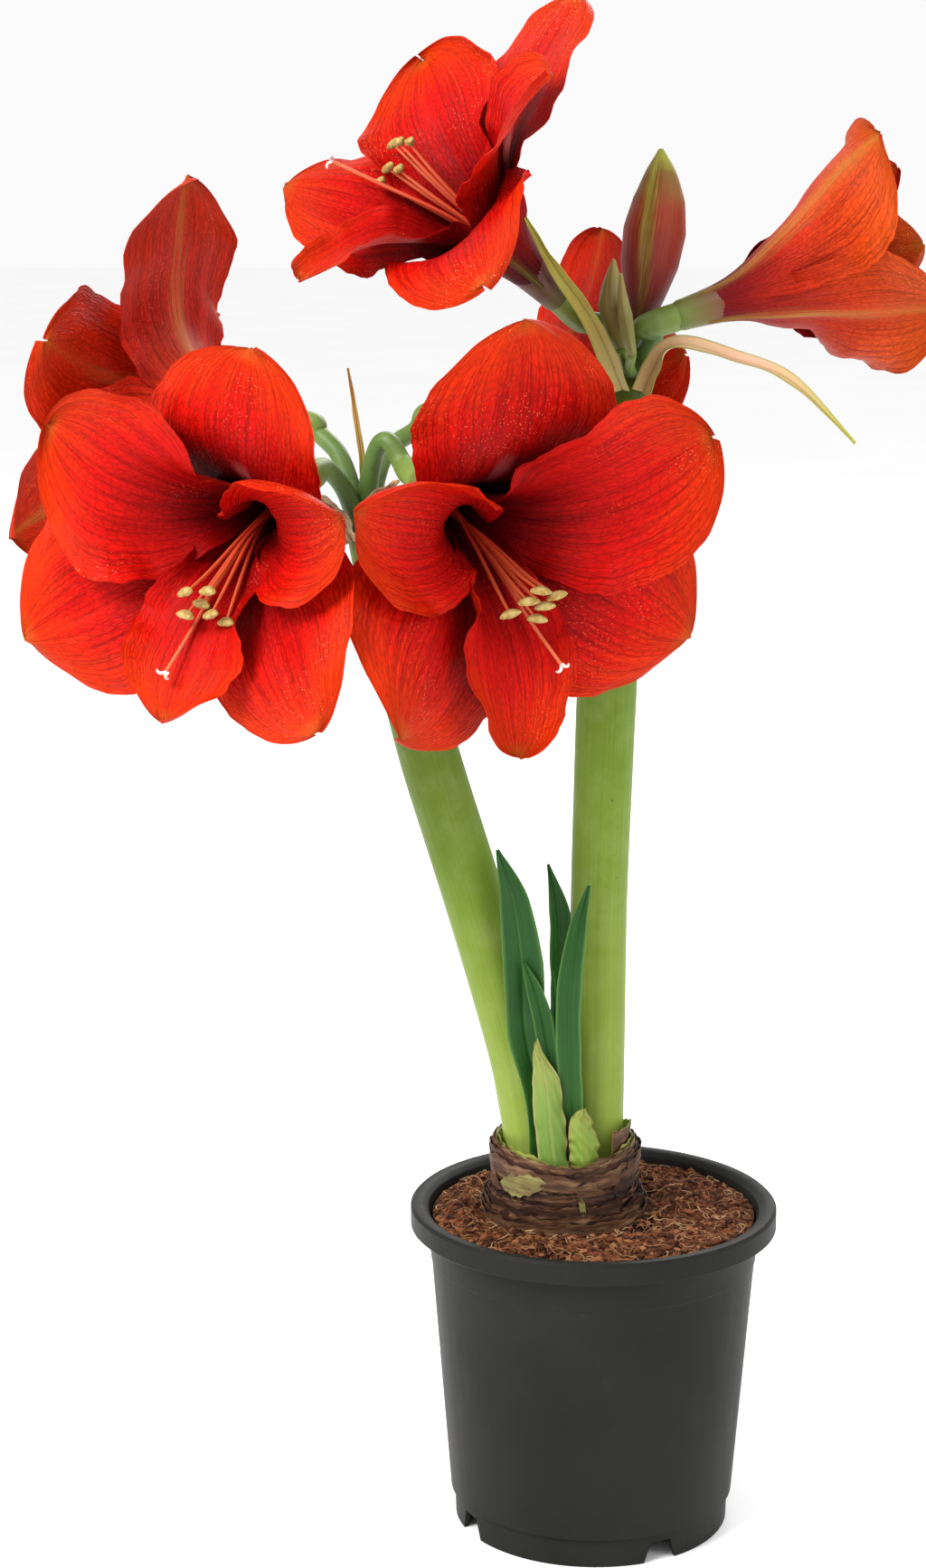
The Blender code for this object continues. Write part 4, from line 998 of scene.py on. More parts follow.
def pot_look():
    """Black plastic with faint scuffs round it and a little dust."""
    look = Look("pot_plastic", Specular_IOR_Level=0.07)
    place = look.place()
    scuffs = look.noise(look.squeezed(place, (1.0, 1.0, 0.06)), 210.0, 5.0, 0.7)
    colour = look.ramp(look.noise(place, 18.0, 4.0), (0.3, (0.0105, 0.0105, 0.0090)),
                       (0.7, (0.0150, 0.0150, 0.0130)))
    dust = look.ramp(look.noise(place, 130.0, 5.0, 0.75), (0.60, 0.0), (0.80, 1.0))
    look.colour(look.mix(look.times(dust, 0.25), colour, (0.035, 0.031, 0.024)))
    look.rough(scuffs, 0.36, 0.56)
    look.bump(scuffs, 0.05, 0.35)
    look.bump(look.noise(place, 700.0, 2.0), 0.05, 0.35)
    return look


def petal_looks():
    """The petals' inside, and the outsides by flower; stops are places along a petal."""
    # Inside, the first stops are a near-black painted shade of the throat, and the orange-red of
    # the last stop is partly painted glow of the lit petal.
    inner = ((0.18, (0.035, 0.0006, 0.0020)), (0.44, (0.155, 0.0010, 0.0026)),
             (0.62, (0.37, 0.0020, 0.0018)), (0.80, (0.54, 0.0040, 0.0012)),
             (1.0, (0.61, 0.026, 0.0012)))
    outer = ((0.0, (0.08, 0.08, 0.012)), (0.12, (0.15, 0.008, 0.010)),
             (0.40, (0.40, 0.006, 0.003)), (0.9, (0.60, 0.018, 0.002)))
    warm = ((0.0, (0.10, 0.10, 0.016)), (0.14, (0.30, 0.045, 0.022)),
            (0.36, (0.56, 0.055, 0.018)), (0.62, (0.50, 0.010, 0.002)),
            (1.0, (0.58, 0.024, 0.002)))
    flushed = ((0.0, (0.15, 0.20, 0.03)), (0.12, (0.15, 0.020, 0.030)),
               (0.30, (0.24, 0.008, 0.010)), (0.60, (0.46, 0.022, 0.004)),
               (1.0, (0.54, 0.062, 0.006)))
    dark = ((0.0, (0.06, 0.04, 0.01)), (0.18, (0.07, 0.004, 0.006)),
            (0.5, (0.32, 0.004, 0.004)), (0.9, (0.68, 0.012, 0.002)))
    return [
        petal_look("petal_inner", inner),
        petal_look("petal_outer", outer, True),
        petal_look("petal_warm", warm, True, (0.54, 0.20, 0.050), 0.04),
        petal_look("petal_flushed", flushed, True, (0.44, 0.21, 0.050), 0.12),
        petal_look("petal_dark", dark, True, (0.16, 0.07, 0.02)),
    ]


def make_looks():
    """Every material of the plant and its pot, by name."""
    looks = petal_looks() + [
        stem_look("throat", (0.13, 0.21, 0.03), (0.14, 0.12, 0.025), (0.16, 0.02, 0.02)),
        stem_look("throat_dark", (0.08, 0.10, 0.02), (0.09, 0.02, 0.012),
                  (0.08, 0.005, 0.007)),
        # The stalk's colour darkens towards its top: partly its own colour, partly painted shade
        # where the flowers shadow it.
        stem_look("stalk", (0.225, 0.295, 0.045), (0.125, 0.205, 0.018),
                  (0.055, 0.085, 0.010), gloss=0.12),
        stem_look("pedicel", (0.040, 0.095, 0.014), (0.070, 0.150, 0.022),
                  (0.16, 0.24, 0.040)),
        stem_look("small_bud", (0.17, 0.19, 0.035), (0.16, 0.15, 0.025),
                  (0.26, 0.20, 0.05), 0.35),
        bud_look(), filament_look(), pollen_look(), stigma_look(),
        leaf_look("leaf", (0.026, 0.100, 0.012), (0.010, 0.058, 0.007),
                  (0.014, 0.072, 0.009), (0.065, 0.165, 0.028)),
        leaf_look("bract", (0.46, 0.41, 0.15), (0.44, 0.42, 0.090),
                  (0.36, 0.38, 0.040), (0.28, 0.30, 0.04), 0.35),
        leaf_look("bract_fold", (0.48, 0.38, 0.14), (0.66, 0.40, 0.27),
                  (0.34, 0.33, 0.045), (0.17, 0.22, 0.015), 0.35),
        leaf_look("bracteole", (0.24, 0.27, 0.07), (0.40, 0.27, 0.07),
                  (0.36, 0.15, 0.03), (0.36, 0.23, 0.06), 0.3),
        leaf_look("cut_sheath", (0.10, 0.18, 0.025), (0.15, 0.24, 0.04),
                  (0.24, 0.26, 0.06), (0.30, 0.24, 0.10)),
        leaf_look("inner_scale", (0.14, 0.22, 0.03), (0.17, 0.26, 0.035),
                  (0.25, 0.28, 0.06), (0.24, 0.13, 0.05)),
        paper_look("dry_bract", (0.15, 0.05, 0.025), (0.36, 0.23, 0.11),
                   (0.50, 0.42, 0.27), (1, 1, 0.4), 120.0, 0.3),
        paper_look("tunic", (0.010, 0.004, 0.002), (0.045, 0.015, 0.007),
                   (0.15, 0.066, 0.029)),
        paper_look("tunic_edge", (0.030, 0.010, 0.005), (0.105, 0.043, 0.018),
                   (0.25, 0.145, 0.068), scale=60.0),
        paper_look("tunic_green", (0.10, 0.055, 0.015), (0.18, 0.15, 0.045),
                   (0.29, 0.27, 0.09), depth=0.3),
        coir_look(), crumb_look(), fibre_look(), pot_look(),
    ]
    return {look.name: look for look in looks}


# Flowers

WHORL = (0.5, 0.2, 0.5, 0.2, 0.5, 0.2)  # how strong each tepal's outer stripe is
PALE_STREAK = ("C0", "E0", "B0")
OUTSIDE = {"A": "petal_warm", "G": "petal_flushed", "E": "petal_dark"}
ROWS, COLUMNS = 46, 28
PETAL = 0.55


def fine_grid(flower, index, seed):
    """A tepal's grid with its midrib, pleats, frill and ragged margin, and its inner side."""
    tepal = flower.tepals[index]
    axis = flower_frame(flower)[0]
    grid = tepal_grid(flower, index, ROWS, COLUMNS)
    share = (row_walk(tepal, ROWS) / tepal.length)[:, None]
    place = np.linspace(-1, 1, COLUMNS + 1)[None, :]
    grow = smooth((share - 0.25) / 0.35)
    middle = grid[:, COLUMNS // 2][:, None, :].copy()
    torn = wobble(share, seed, (5.3, 0.012), (11.7, 0.012), (23.0, 0.008))
    torn = np.where(place < 0, torn, wobble(share, seed + 2.2, (4.4, 0.014), (13.1, 0.010),
                                           (21.0, 0.008)))
    if tepal.width < 26:
        torn = torn * 2.2
    blunt = 0.09 * grow + 0.20 * smooth((share - 0.55) / 0.33)
    scale = 1 + blunt + torn * grow * np.abs(place)
    grid = middle + (grid - middle) * scale[..., None]
    normals = grid_normals(grid)
    if normals[int(ROWS * 0.5), COLUMNS // 2].dot(axis) < 0:
        normals = -normals
    margin = np.abs(place) ** 3.5 * grow
    side = np.sign(place)
    lift = margin * wobble(share + 0.07 * side, seed + side, (3.7, 1.5), (8.1, 0.85),
                           (14.3, 0.35))
    lift = lift - 0.75 * np.exp(-((place / 0.075) ** 2)) * (1 - share ** 3)
    lift = lift * (1 - share ** 10)
    lift = lift + 0.16 * np.sin(19 * place + seed) * (1 - 0.4 * share) * grow
    lift = lift + 0.65 * grow * np.sin(5.0 * place + 7.0 * share + seed) * np.cos(
        11.0 * share - 3.0 * place + 2 * seed)
    return grid + normals * lift[..., None], normals, share[:, 0]


def make_flower(key, flower, looks):
    builder = Builder()
    for index in range(6):
        seed = (ord(key) - ord("@")) * 1.31 + index * 0.77
        grid, inner, share = fine_grid(flower, index, seed)
        streak = 0.4 if key + str(index) in PALE_STREAK else 0.0
        blade(builder, grid, inner, PETAL, (0, 1), (seed % 5.0, WHORL[index] + streak), share)
    curves = profiles(flower)
    along = np.arange(LONGEST + 1)
    steps = np.linspace(0, TUBE_REACH, 9)
    radius = np.interp(steps, along, curves[:, 0].mean(axis=0))
    reach = np.interp(steps, along, curves[:, 1].mean(axis=0))
    profile = [(0.02, 0.0), (radius[0] + 0.4, 0.0)]
    profile += [(r + 1.25 - 0.5 * z / TUBE_REACH, z) for r, z in zip(radius[1:], reach[1:])]
    profile += [(r - 0.9, z) for r, z in zip(radius[:0:-1], reach[:0:-1])]
    profile += [(radius[0] - 1.2, 3.0), (0.02, 3.0)]
    lathe(builder, flower, profile, 36, 2, (1.0, 0.0))
    outside = looks[OUTSIDE.get(key, "petal_outer")]
    throat = looks["throat_dark" if key == "E" else "throat"]
    piece = builder.build("petals_" + key.lower(), (looks["petal_inner"], outside, throat))
    kept(piece, "petal", "perianth_" + key.lower())


def bean(turns, share):
    """The section of an anther: two plump lobes with a seam, tapering at both ends."""
    end = np.sqrt(np.maximum(1 - (2 * share - 1) ** 2 * 0.93, 0.02))
    return end * (1 - 0.20 * np.exp(-((np.cos(turns) - 1) / 0.12) ** 2)
                  + 0.05 * np.sin(5 * turns + 9 * share))


def make_fine_stamens(key, flower, layout, looks):
    builder = Builder()
    axis, right, up = flower_frame(flower)
    base = np.asarray(flower.base, float)
    rng = np.random.default_rng(ord(key))
    for k, end in enumerate(layout.anthers):
        turn = math.radians(60 * k + 30)
        start = (1.5 * math.sin(turn), 1.5 * math.cos(turn))
        path = filament_path(flower, start, end, layout.fall, 0.4)
        tube(builder, path, (1.0, 0.95, 0.85, 0.75, 0.45), 10, 34, 0, (rng.random(), 0))
        along = unit(0.9 * right + (0.35 - 0.2 * (k % 3)) * up + 0.2 * axis)
        centre = base + end[0] * axis + end[1] * right + end[2] * up
        hook = 0.5 * up - 0.2 * axis
        bend = [centre - 4.1 * along - hook, centre - 1.5 * along, centre + 1.5 * along,
                centre + 4.1 * along - hook]
        tube(builder, bend, (1.5, 1.8, 1.8, 1.5), 18, 17, 1, (rng.random(), 0), bean, 0.3)
    path = filament_path(flower, (0, 0), layout.stigma, layout.fall, 0.0)
    centres, tangents = tube(builder, path, (0.95, 0.85, 0.8, 0.75, 0.7), 12, 40)
    tip, heading = centres[-1], unit(tangents[-1])
    aside = unit(np.cross(heading, (0.2, 0.1, 1)))
    above = np.cross(aside, heading)
    for k in range(3):
        turn = 2 * math.pi * k / 3 + 0.5
        out = math.cos(turn) * aside + math.sin(turn) * above
        lobe = [tip - 0.4 * heading, tip + 0.9 * heading + 0.9 * out,
                tip + 1.3 * heading + 2.3 * out, tip + 0.6 * heading + 3.3 * out]
        tube(builder, lobe, (0.6, 0.62, 0.6, 0.3), 10, 9, 2)
    piece = builder.build("stamens_fine_" + key.lower(),
                          (looks["filament"], looks["pollen"], looks["stigma"]))
    kept(piece, "stamen", "stamens_" + key.lower())


# Stalks and buds

def stalk_section(turns, share):
    """Slightly oval, with faint ribs along it."""
    return 1 + 0.012 * np.cos(2 * turns + 0.6) + 0.006 * np.cos(9 * turns + 4 * share) + \
        0.004 * np.cos(17 * turns)


def pedicel_section(turns, share):
    return 1 + 0.05 * np.cos(3 * turns + 0.4) * smooth((share - 0.55) / 0.3) + \
        0.012 * np.cos(7 * turns)


def make_fine_stalk(name, stalk, keys, looks, extra=()):
    builder = Builder()
    tube(builder, [p for p, _ in stalk], [r for _, r in stalk], 72, 90, 0, (0, 0),
         stalk_section)
    for key in keys:
        flower = FLOWERS[key]
        axis = flower_frame(flower)[0]
        base = np.asarray(flower.base, float)
        path = list(PEDICELS[key]) + [base - OVARY_LENGTH * axis,
                                      base - 0.5 * OVARY_LENGTH * axis, base + 1.2 * axis]
        radii = (PEDICEL_RADIUS * 1.15, PEDICEL_RADIUS, PEDICEL_RADIUS, PEDICEL_RADIUS * 1.1,
                 OVARY_RADIUS, OVARY_RADIUS * 1.02)
        tube(builder, path, radii, 36, 48, 1, (ord(key) % 7, 0), pedicel_section, relax=14)
    for k, (path, radii) in enumerate(extra):
        tube(builder, path, radii, 28, 16, 1, (k, 0), pedicel_section)
    piece = builder.build(name + "_fine", (looks["stalk"], looks["pedicel"]))
    kept(piece, "stalk", name)


def bud_section(turns, share):
    """Three sepals folded over each other, each with a ridge."""
    fold = np.abs(((1.5 * turns / math.pi + 0.25 * share + 0.15) % 1) - 0.5) * 2
    return 1 + 0.05 * fold - 0.07 * np.exp(-((1 - fold) / 0.10) ** 2) + 0.012 * np.cos(
        24 * turns)


def make_fine_buds(looks):
    for name, bud, look in (("bud_large", BUD, "bud"), ("bud_small", SMALL_BUD, "small_bud"),
                            ("bud_narrow", NARROW_BUD, "small_bud")):
        builder = Builder()
        tube(builder, [p for p, _ in bud], [r for _, r in bud], 60, 54, 0, (0, 0), bud_section)
        kept(builder.build(name + "_fine", (looks[look],)), look, name)


# Leaves, bracts and scales

STRIP_LOOKS = {
    "leaf_big": "leaf", "leaf_back": "leaf", "leaf_front": "leaf", "leaf_small": "leaf",
    "leaf_thin": "leaf", "cut_sheath": "cut_sheath", "curled_scale": "inner_scale",
    "bract_left": "bract", "bract_right": "bract_fold", "bract_dry": "dry_bract",
    "bract_cream": "dry_bract", "bracteole": "bracteole",
}
STRIP_SLOTS = {
    "leaf": "leaf", "cut_sheath": "cut_sheath", "inner_scale": "cut_sheath", "bract": "bract",
    "bract_fold": "bract", "dry_bract": "dry_bract", "bracteole": "bract",
}


def make_fine_strips(looks):
    for number, (name, strip) in enumerate(STRIPS.items()):
        look = STRIP_LOOKS[name]
        rows, columns = 60, 16
        grid = strip_grid(strip, rows, columns)
        share = np.linspace(0, 1, rows + 1)[:, None]
        place = np.linspace(-1, 1, columns + 1)[None, :]
        normals = grid_normals(grid)
        facing = np.asarray(strip.faces, float)
        if normals[rows // 2, columns // 2].dot(facing) < 0:
            normals = -normals
        dry = look in ("dry_bract", "cut_sheath", "inner_scale")
        height = 0.55 if dry else 0.28
        lift = np.abs(place) ** 2 * wobble(share + 0.1 * np.sign(place), number * 1.7,
                                           (2.6, height), (5.7, height * 0.6))
        lift = lift - 0.35 * np.exp(-((place / 0.10) ** 2))
        if dry:
            lift = lift + wobble(share * 0.7 + place * 0.25, number, (7.0, 0.22))
        grid = grid + normals * lift[..., None]
        if look == "cut_sheath":
            # The sheath was cut across, so its top is broad and torn.
            torn = wobble(place[0], 2.0, (1.3, 1.5), (3.9, 1.1), (7.0, 0.5))
            grid[-6:, :, 2] += np.linspace(0, 1, 6)[:, None] * torn
        builder = Builder()
        blade(builder, grid, normals, strip.thickness, (0, 0), (number * 0.37, 0))
        kept(builder.build(name + "_fine", (looks[look],)), STRIP_SLOTS[look], name)


# Bulb

def neck_dip(turn, height):
    """How far the neck's layers sink at the front, in millimetres."""
    turn = (turn + math.pi) % (2 * math.pi) - math.pi
    front = 5.0 * np.exp(-((turn - 0.10) / 0.75) ** 2)
    return front * np.clip((height - 143) / 20, 0, 1.3)


def around_bulb(radius, turns, height):
    """Points about the bulb's upright axis, the turn running from the front to the right."""
    x, y, z = np.broadcast_arrays(
        BULB_X + radius * np.sin(turns), -radius * np.cos(turns), height)
    return np.stack([x, y, z], axis=-1)


def ring_band(builder, low, high, radius, flare, seed, look, spread=(0, 360), tilt=0.0):
    """A papery band round the neck, with a torn upper edge that curls outwards."""
    columns = max(int((spread[1] - spread[0]) / 2.2), 8)
    turns = np.radians(np.linspace(*spread, columns + 1))
    share = np.linspace(0, 1, 7)[:, None]
    around = turns[None, :] / (2 * math.pi)
    closed = spread[1] - spread[0] >= 360
    rough = [(3, 0.35), (7, 0.4), (13, 0.35), (29, 0.25)] if closed else [
        (2.2, 0.4), (6.3, 0.5), (12.7, 0.35), (27.1, 0.25)]
    lean = tilt * np.sin(turns[None, :] + seed)
    top = high + wobble(around, seed, *[(f, h * 1.3) for f, h in rough]) + lean
    base = low + wobble(around, seed + 4, *[(f, h * 0.5) for f, h in rough]) + lean
    height = base + (top - base) * share
    out = radius + flare * share ** 2.2 + wobble(around, seed + 8, *rough) * 0.5
    out = out + 0.12 * np.sin(9 * share + seed)
    if not closed:
        # A flake tapers towards both its ends.
        along = np.linspace(-1, 1, columns + 1)[None, :]
        taper = np.clip(1 - np.abs(along) ** 2.4, 0.03, 1) * (1 + 0.12 * np.sin(
            17 * along + seed))
        middle = (low + high) / 2 + 0.30 * (high - low) * along * math.sin(seed)
        height = middle + (height - (low + high) / 2) * taper
    height = height - neck_dip(turns[None, :], height)
    outward = np.stack([np.sin(turns), -np.cos(turns), np.zeros(len(turns))], axis=1)
    blade(builder, around_bulb(out, turns, height), np.broadcast_to(outward, out.shape + (3,)),
          0.5, (look, look), (seed % 3, 0))


def add_bulb_body(builder):
    """The bulb from its foot up to the neck's edge, and down into the hollow of the neck."""
    sides = 180
    turns = ring_turns(sides)
    around = turns / (2 * math.pi)
    heights, radii = np.array(BULB_PROFILE, float).T
    points = [around_bulb(0.05, turns, np.full(sides, 56.0))]
    for height in np.concatenate([np.linspace(57, 120, 14), np.linspace(122, 163, 60)]):
        ridges = 0.45 * wobble(height / 3.2, 1.0, (1.0, 0.7), (1.7, 0.5))
        dents = 0.35 * wobble(around, height * 0.35, (5, 0.5), (11, 0.4), (23, 0.3))
        out = np.interp(height, heights, radii) - 0.8
        out = out + smooth((height - 120) / 8) * (ridges + dents)
        points.append(around_bulb(out, turns, height - neck_dip(turns, height)))
    for radius, height in ((PIT_RADIUS + 0.4, 162.6), (PIT_RADIUS, 160), (PIT_RADIUS - 0.4, 155),
                           (PIT_RADIUS - 1.5, PIT_FLOOR - 0.4), (12, PIT_FLOOR - 0.6),
                           (0.05, PIT_FLOOR - 0.6)):
        dip = neck_dip(turns, height) * (radius > 20)
        points.append(around_bulb(radius, turns, height - dip))
    count = len(points)
    faces, uvs = ring_quads([i / count for i in range(count)], sides)
    sorts = [3 if k // sides > count - 8 else 0 for k in range(len(faces))]
    builder.add(np.concatenate(points), faces, uvs, sorts)


def make_fine_bulb(looks):
    builder = Builder()
    add_bulb_body(builder)
    rng = np.random.default_rng(21)
    # Bands from the shoulder up to the neck's edge, each a little looser than the next.
    level = BANDS_FROM
    number = 0
    while level < BANDS_TO:
        tall = rng.uniform(2.2, 5.5)
        neck = np.interp(level, *np.array(BULB_PROFILE, float).T)
        ring_band(builder, level, min(level + tall, NECK_EDGE), neck - 0.3,
                  rng.uniform(0.5, 1.3), number * 1.9 + 0.3, 1 - number % 2,
                  tilt=rng.uniform(0.2, 1.0))
        level += rng.uniform(1.4, 2.6)
        number += 1
    # Cut edges of the scales, one inside the other, at the neck's top.
    for k, look in enumerate((3, 1, 2, 1, 1, 0, 1)):
        ring_band(builder, 156.5 - 0.9 * k, 164.4 - 0.75 * k + 0.5 * math.sin(3.0 * k),
                  PIT_RADIUS - 0.5 + 0.62 * k, 0.45, 5.1 + k, look, tilt=0.6)
    # Loose flakes: a pale green patch at the left, dark ones at the right, and torn slits.
    for low, high, out, flare, seed, look, spread in (
        (146.0, 157.0, 31.2, 0.6, 2.0, 2, (-58, -14)),
        (141, 158, 30.1, 0.9, 3.0, 0, (38, 76)),
        (137, 156, 30.0, 0.5, 4.4, 0, (6, 34)),
        (138, 148, 31.0, 1.1, 5.0, 2, (9, 14)),
        (134, 143, 31.6, 1.8, 6.0, 0, (44, 84)),
        (140, 151, 29.8, 1.6, 7.0, 1, (-84, -58)),
        (133, 141, 31.6, 1.2, 8.0, 0, (-58, -22)),
        (136, 152, 29.8, 1.0, 9.0, 0, (100, 150)),
        (138, 158, 29.9, 0.8, 10.0, 1, (176, 216)),
        (134, 147, 30.8, 1.4, 11.0, 0, (222, 262)),
    ):
        ring_band(builder, low, high, out, flare, seed, look, spread)
    piece = builder.build("bulb_fine", [looks[name] for name in (
        "tunic", "tunic_edge", "tunic_green", "inner_scale")])
    kept(piece, "bulb_tunic", "bulb")


def make_fine_neck_scale(looks):
    builder = Builder()
    turns = np.radians(np.linspace(46, 205, 90))
    share = np.linspace(0, 1, 15)[:, None]
    top = 169.5 + 2.2 * np.sin(2.1 * turns + 0.6) + 1.3 * np.sin(5.3 * turns)
    top = top + 0.35 * np.sin(31 * turns) + 0.2 * np.sin(57 * turns)
    height = PIT_FLOOR + GAP + 0.2 + (top - PIT_FLOOR) * share
    radius = PIT_RADIUS - 1.3 + 0.5 * np.sin(3.1 * turns + 3 * share) * share
    grid = around_bulb(radius + 0.7 * share ** 3, turns, height)
    inner = np.stack([-np.sin(turns), np.cos(turns), 0 * turns], axis=1)
    blade(builder, grid, np.broadcast_to(inner[None], grid.shape), 0.9, (0, 1), (0.4, 0))
    piece = builder.build("neck_scale_fine", (looks["inner_scale"], looks["tunic_edge"]))
    kept(piece, "inner_scale", "neck_scale")


# Soil

def fine_soil_height(x, y):
    edge = smooth((66.5 - math.hypot(x, y)) / 6)
    fine = (0.55 * math.sin(0.95 * x + 0.7 * y) * math.cos(0.85 * y - 0.4 * x + 0.7)
            + 0.40 * math.sin(1.9 * x - 1.1 * y) * math.cos(1.7 * y + 0.9 * x)
            + 0.28 * math.sin(3.6 * x + 2.1 * y) * math.cos(3.1 * y - 1.3 * x))
    banked = 3.4 * smooth((math.hypot(x - BULB_X, y) - 33) / 14)
    return soil_height(x, y) + float(banked) + 0.9 * fine * float(edge)


def add_soil_body(builder):
    """The filling of the pot, from its base plate up to a lumpy top."""
    sides = 220
    turns = ring_turns(sides)
    reach = inner_radius(SOIL_EDGE) - 0.6
    foot, low = WALL_FOOT_RADIUS - 6.5, BASE_HEIGHT + BASE_PLATE + GAP
    points = []
    for radius, height in ((foot * 0.001, low), (foot, low), (inner_radius(18) - 0.8, 18.0)):
        points.append(np.stack([radius * np.cos(turns), radius * np.sin(turns),
                                np.full(sides, height)], axis=1))
    for radius in np.concatenate([np.linspace(reach, 60, 7), np.linspace(59, 33, 34),
                                  (20, 6, 0.05)]):
        x, y = radius * np.cos(turns), radius * np.sin(turns)
        z = np.array([fine_soil_height(a, b) for a, b in zip(x, y)])
        # Under the bulb the soil stays below its skin.
        z = np.where(np.hypot(x - BULB_X, y) < 31.5, np.minimum(z, 122.0), z)
        points.append(np.stack([x, y, z], axis=1))
    faces, uvs = ring_quads(np.linspace(0, 1, len(points)), sides)
    builder.add(np.concatenate(points), faces, uvs, 0)


def soil_spot(rng, least):
    """A random place on the soil, at least so far from the bulb's middle."""
    while True:
        turn, out = rng.uniform(0, 2 * math.pi), CRUMB_REACH * math.sqrt(rng.random())
        x, y = out * math.cos(turn), out * math.sin(turn)
        if math.hypot(x - BULB_X, y) > least:
            return x, y


def add_crumbs(builder, rng, count):
    lump = bmesh.new()
    bmesh.ops.create_icosphere(lump, subdivisions=1, radius=1.0)
    shape = np.array([v.co for v in lump.verts])
    cells = [tuple(v.index for v in f.verts) for f in lump.faces]
    lump.free()
    flat = [[(0, 0)] * 3] * len(cells)
    for _ in range(count):
        x, y = soil_spot(rng, 32.0)
        size = min(rng.gamma(2.2, 0.36) + 0.35, 2.4)
        body = shape * rng.uniform(0.6, 1.25, (len(shape), 1))
        body = body * (size * rng.uniform(0.7, 1.5), size * rng.uniform(0.5, 1.0),
                       size * rng.uniform(0.4, 0.8))
        turn = rng.uniform(0, 2 * math.pi)
        spun = np.stack([body[:, 0] * math.cos(turn) - body[:, 1] * math.sin(turn),
                         body[:, 0] * math.sin(turn) + body[:, 1] * math.cos(turn),
                         body[:, 2]], axis=1)
        height = fine_soil_height(x, y) + size * 0.15
        builder.add(spun + (x, y, height), cells, flat, 1, (float(rng.random()), 0))


def add_fibres(builder, rng, count):
    """Coir fibres that lie on the soil, arched a little, clear of the bulb and the wall."""
    for _ in range(count):
        x, y = soil_spot(rng, 33.5)
        long = rng.uniform(3, 11) if rng.random() < 0.9 else rng.uniform(12, 24)
        heading, curl = rng.uniform(0, 2 * math.pi), rng.normal(0, 0.09)
        path = []
        arch = rng.uniform(0.2, 1.6)
        for k in range(5):
            out = math.hypot(x, y)
            if out > 64.5:
                x, y = x * 64.5 / out, y * 64.5 / out
            near = math.hypot(x - BULB_X, y)
            if near < 33:
                x, y = BULB_X + (x - BULB_X) * 33 / near, y * 33 / near
            height = fine_soil_height(x, y) + 0.5 + arch * math.sin(math.pi * k / 4)
            path.append((x, y, height))
            x += long / 4 * math.cos(heading)
            y += long / 4 * math.sin(heading)
            heading += curl * long + rng.normal(0, 0.25)
        if min(np.linalg.norm(np.subtract(a, b)) for a, b in zip(path, path[1:])) < 0.2:
            continue
        thick = rng.uniform(0.10, 0.24)
        tube(builder, path, (thick, thick, thick, thick, thick * 0.5), 5, 9, 2,
             (float(rng.random()), 0))


def make_fine_soil(looks):
    builder = Builder()
    rng = np.random.default_rng(7)
    add_soil_body(builder)
    add_crumbs(builder, rng, CRUMBS)
    add_fibres(builder, rng, FIBRES)
    piece = builder.build("soil_fine", (looks["coir"], looks["crumb"], looks["fibre"]), 80)
    kept(piece, "soil_coir", "soil")


# Pot

def pot_profile():
    """The pot's section, from the axis over the base, wall and rim and back under the foot."""
    line = LINE_HEIGHT
    lip = POT_HEIGHT - RIM_DROP
    slope = (WALL_TOP_RADIUS - WALL_FOOT_RADIUS) / (POT_HEIGHT - FOOT_HEIGHT)
    at_line = WALL_FOOT_RADIUS + slope * (line - FOOT_HEIGHT)
    return [
        (0, BASE_HEIGHT + BASE_PLATE),
        (WALL_FOOT_RADIUS - 3.4, BASE_HEIGHT + BASE_PLATE),
        (WALL_FOOT_RADIUS - WALL, FOOT_HEIGHT + 2.4),
        (WALL_TOP_RADIUS - WALL, POT_HEIGHT - 5.5),
        (WALL_TOP_RADIUS - 0.4, POT_HEIGHT - 2.2),
        (RIM_INNER_RADIUS, POT_HEIGHT - 0.6),
        (RIM_INNER_RADIUS + 1.6, POT_HEIGHT),
        (RIM_RADIUS - 1.2, POT_HEIGHT),
        (RIM_RADIUS, POT_HEIGHT - 1.2),
        (RIM_RADIUS, lip + 0.4),
        (RIM_RADIUS - 0.4, lip),
        (RIM_RADIUS - 1.6, lip),
        (RIM_RADIUS - 1.8, POT_HEIGHT - 2.4),
        (WALL_TOP_RADIUS + 1.2, POT_HEIGHT - 2.8),
        (WALL_TOP_RADIUS, POT_HEIGHT - 5.0),
        (at_line + LINE_STEP, line + 0.5),
        (at_line, line),
        (WALL_FOOT_RADIUS, FOOT_HEIGHT + 0.8),
        (FOOT_RADIUS, FOOT_HEIGHT - 0.2),
        (FOOT_RADIUS - 0.4, 0),
        (FOOT_RADIUS - 2.0, 0),
        (FOOT_RADIUS - 2.2, BASE_HEIGHT),
        (PAD_RADIUS, BASE_HEIGHT),
        (PAD_RADIUS - 0.6, 0),
        (0, 0),
    ]


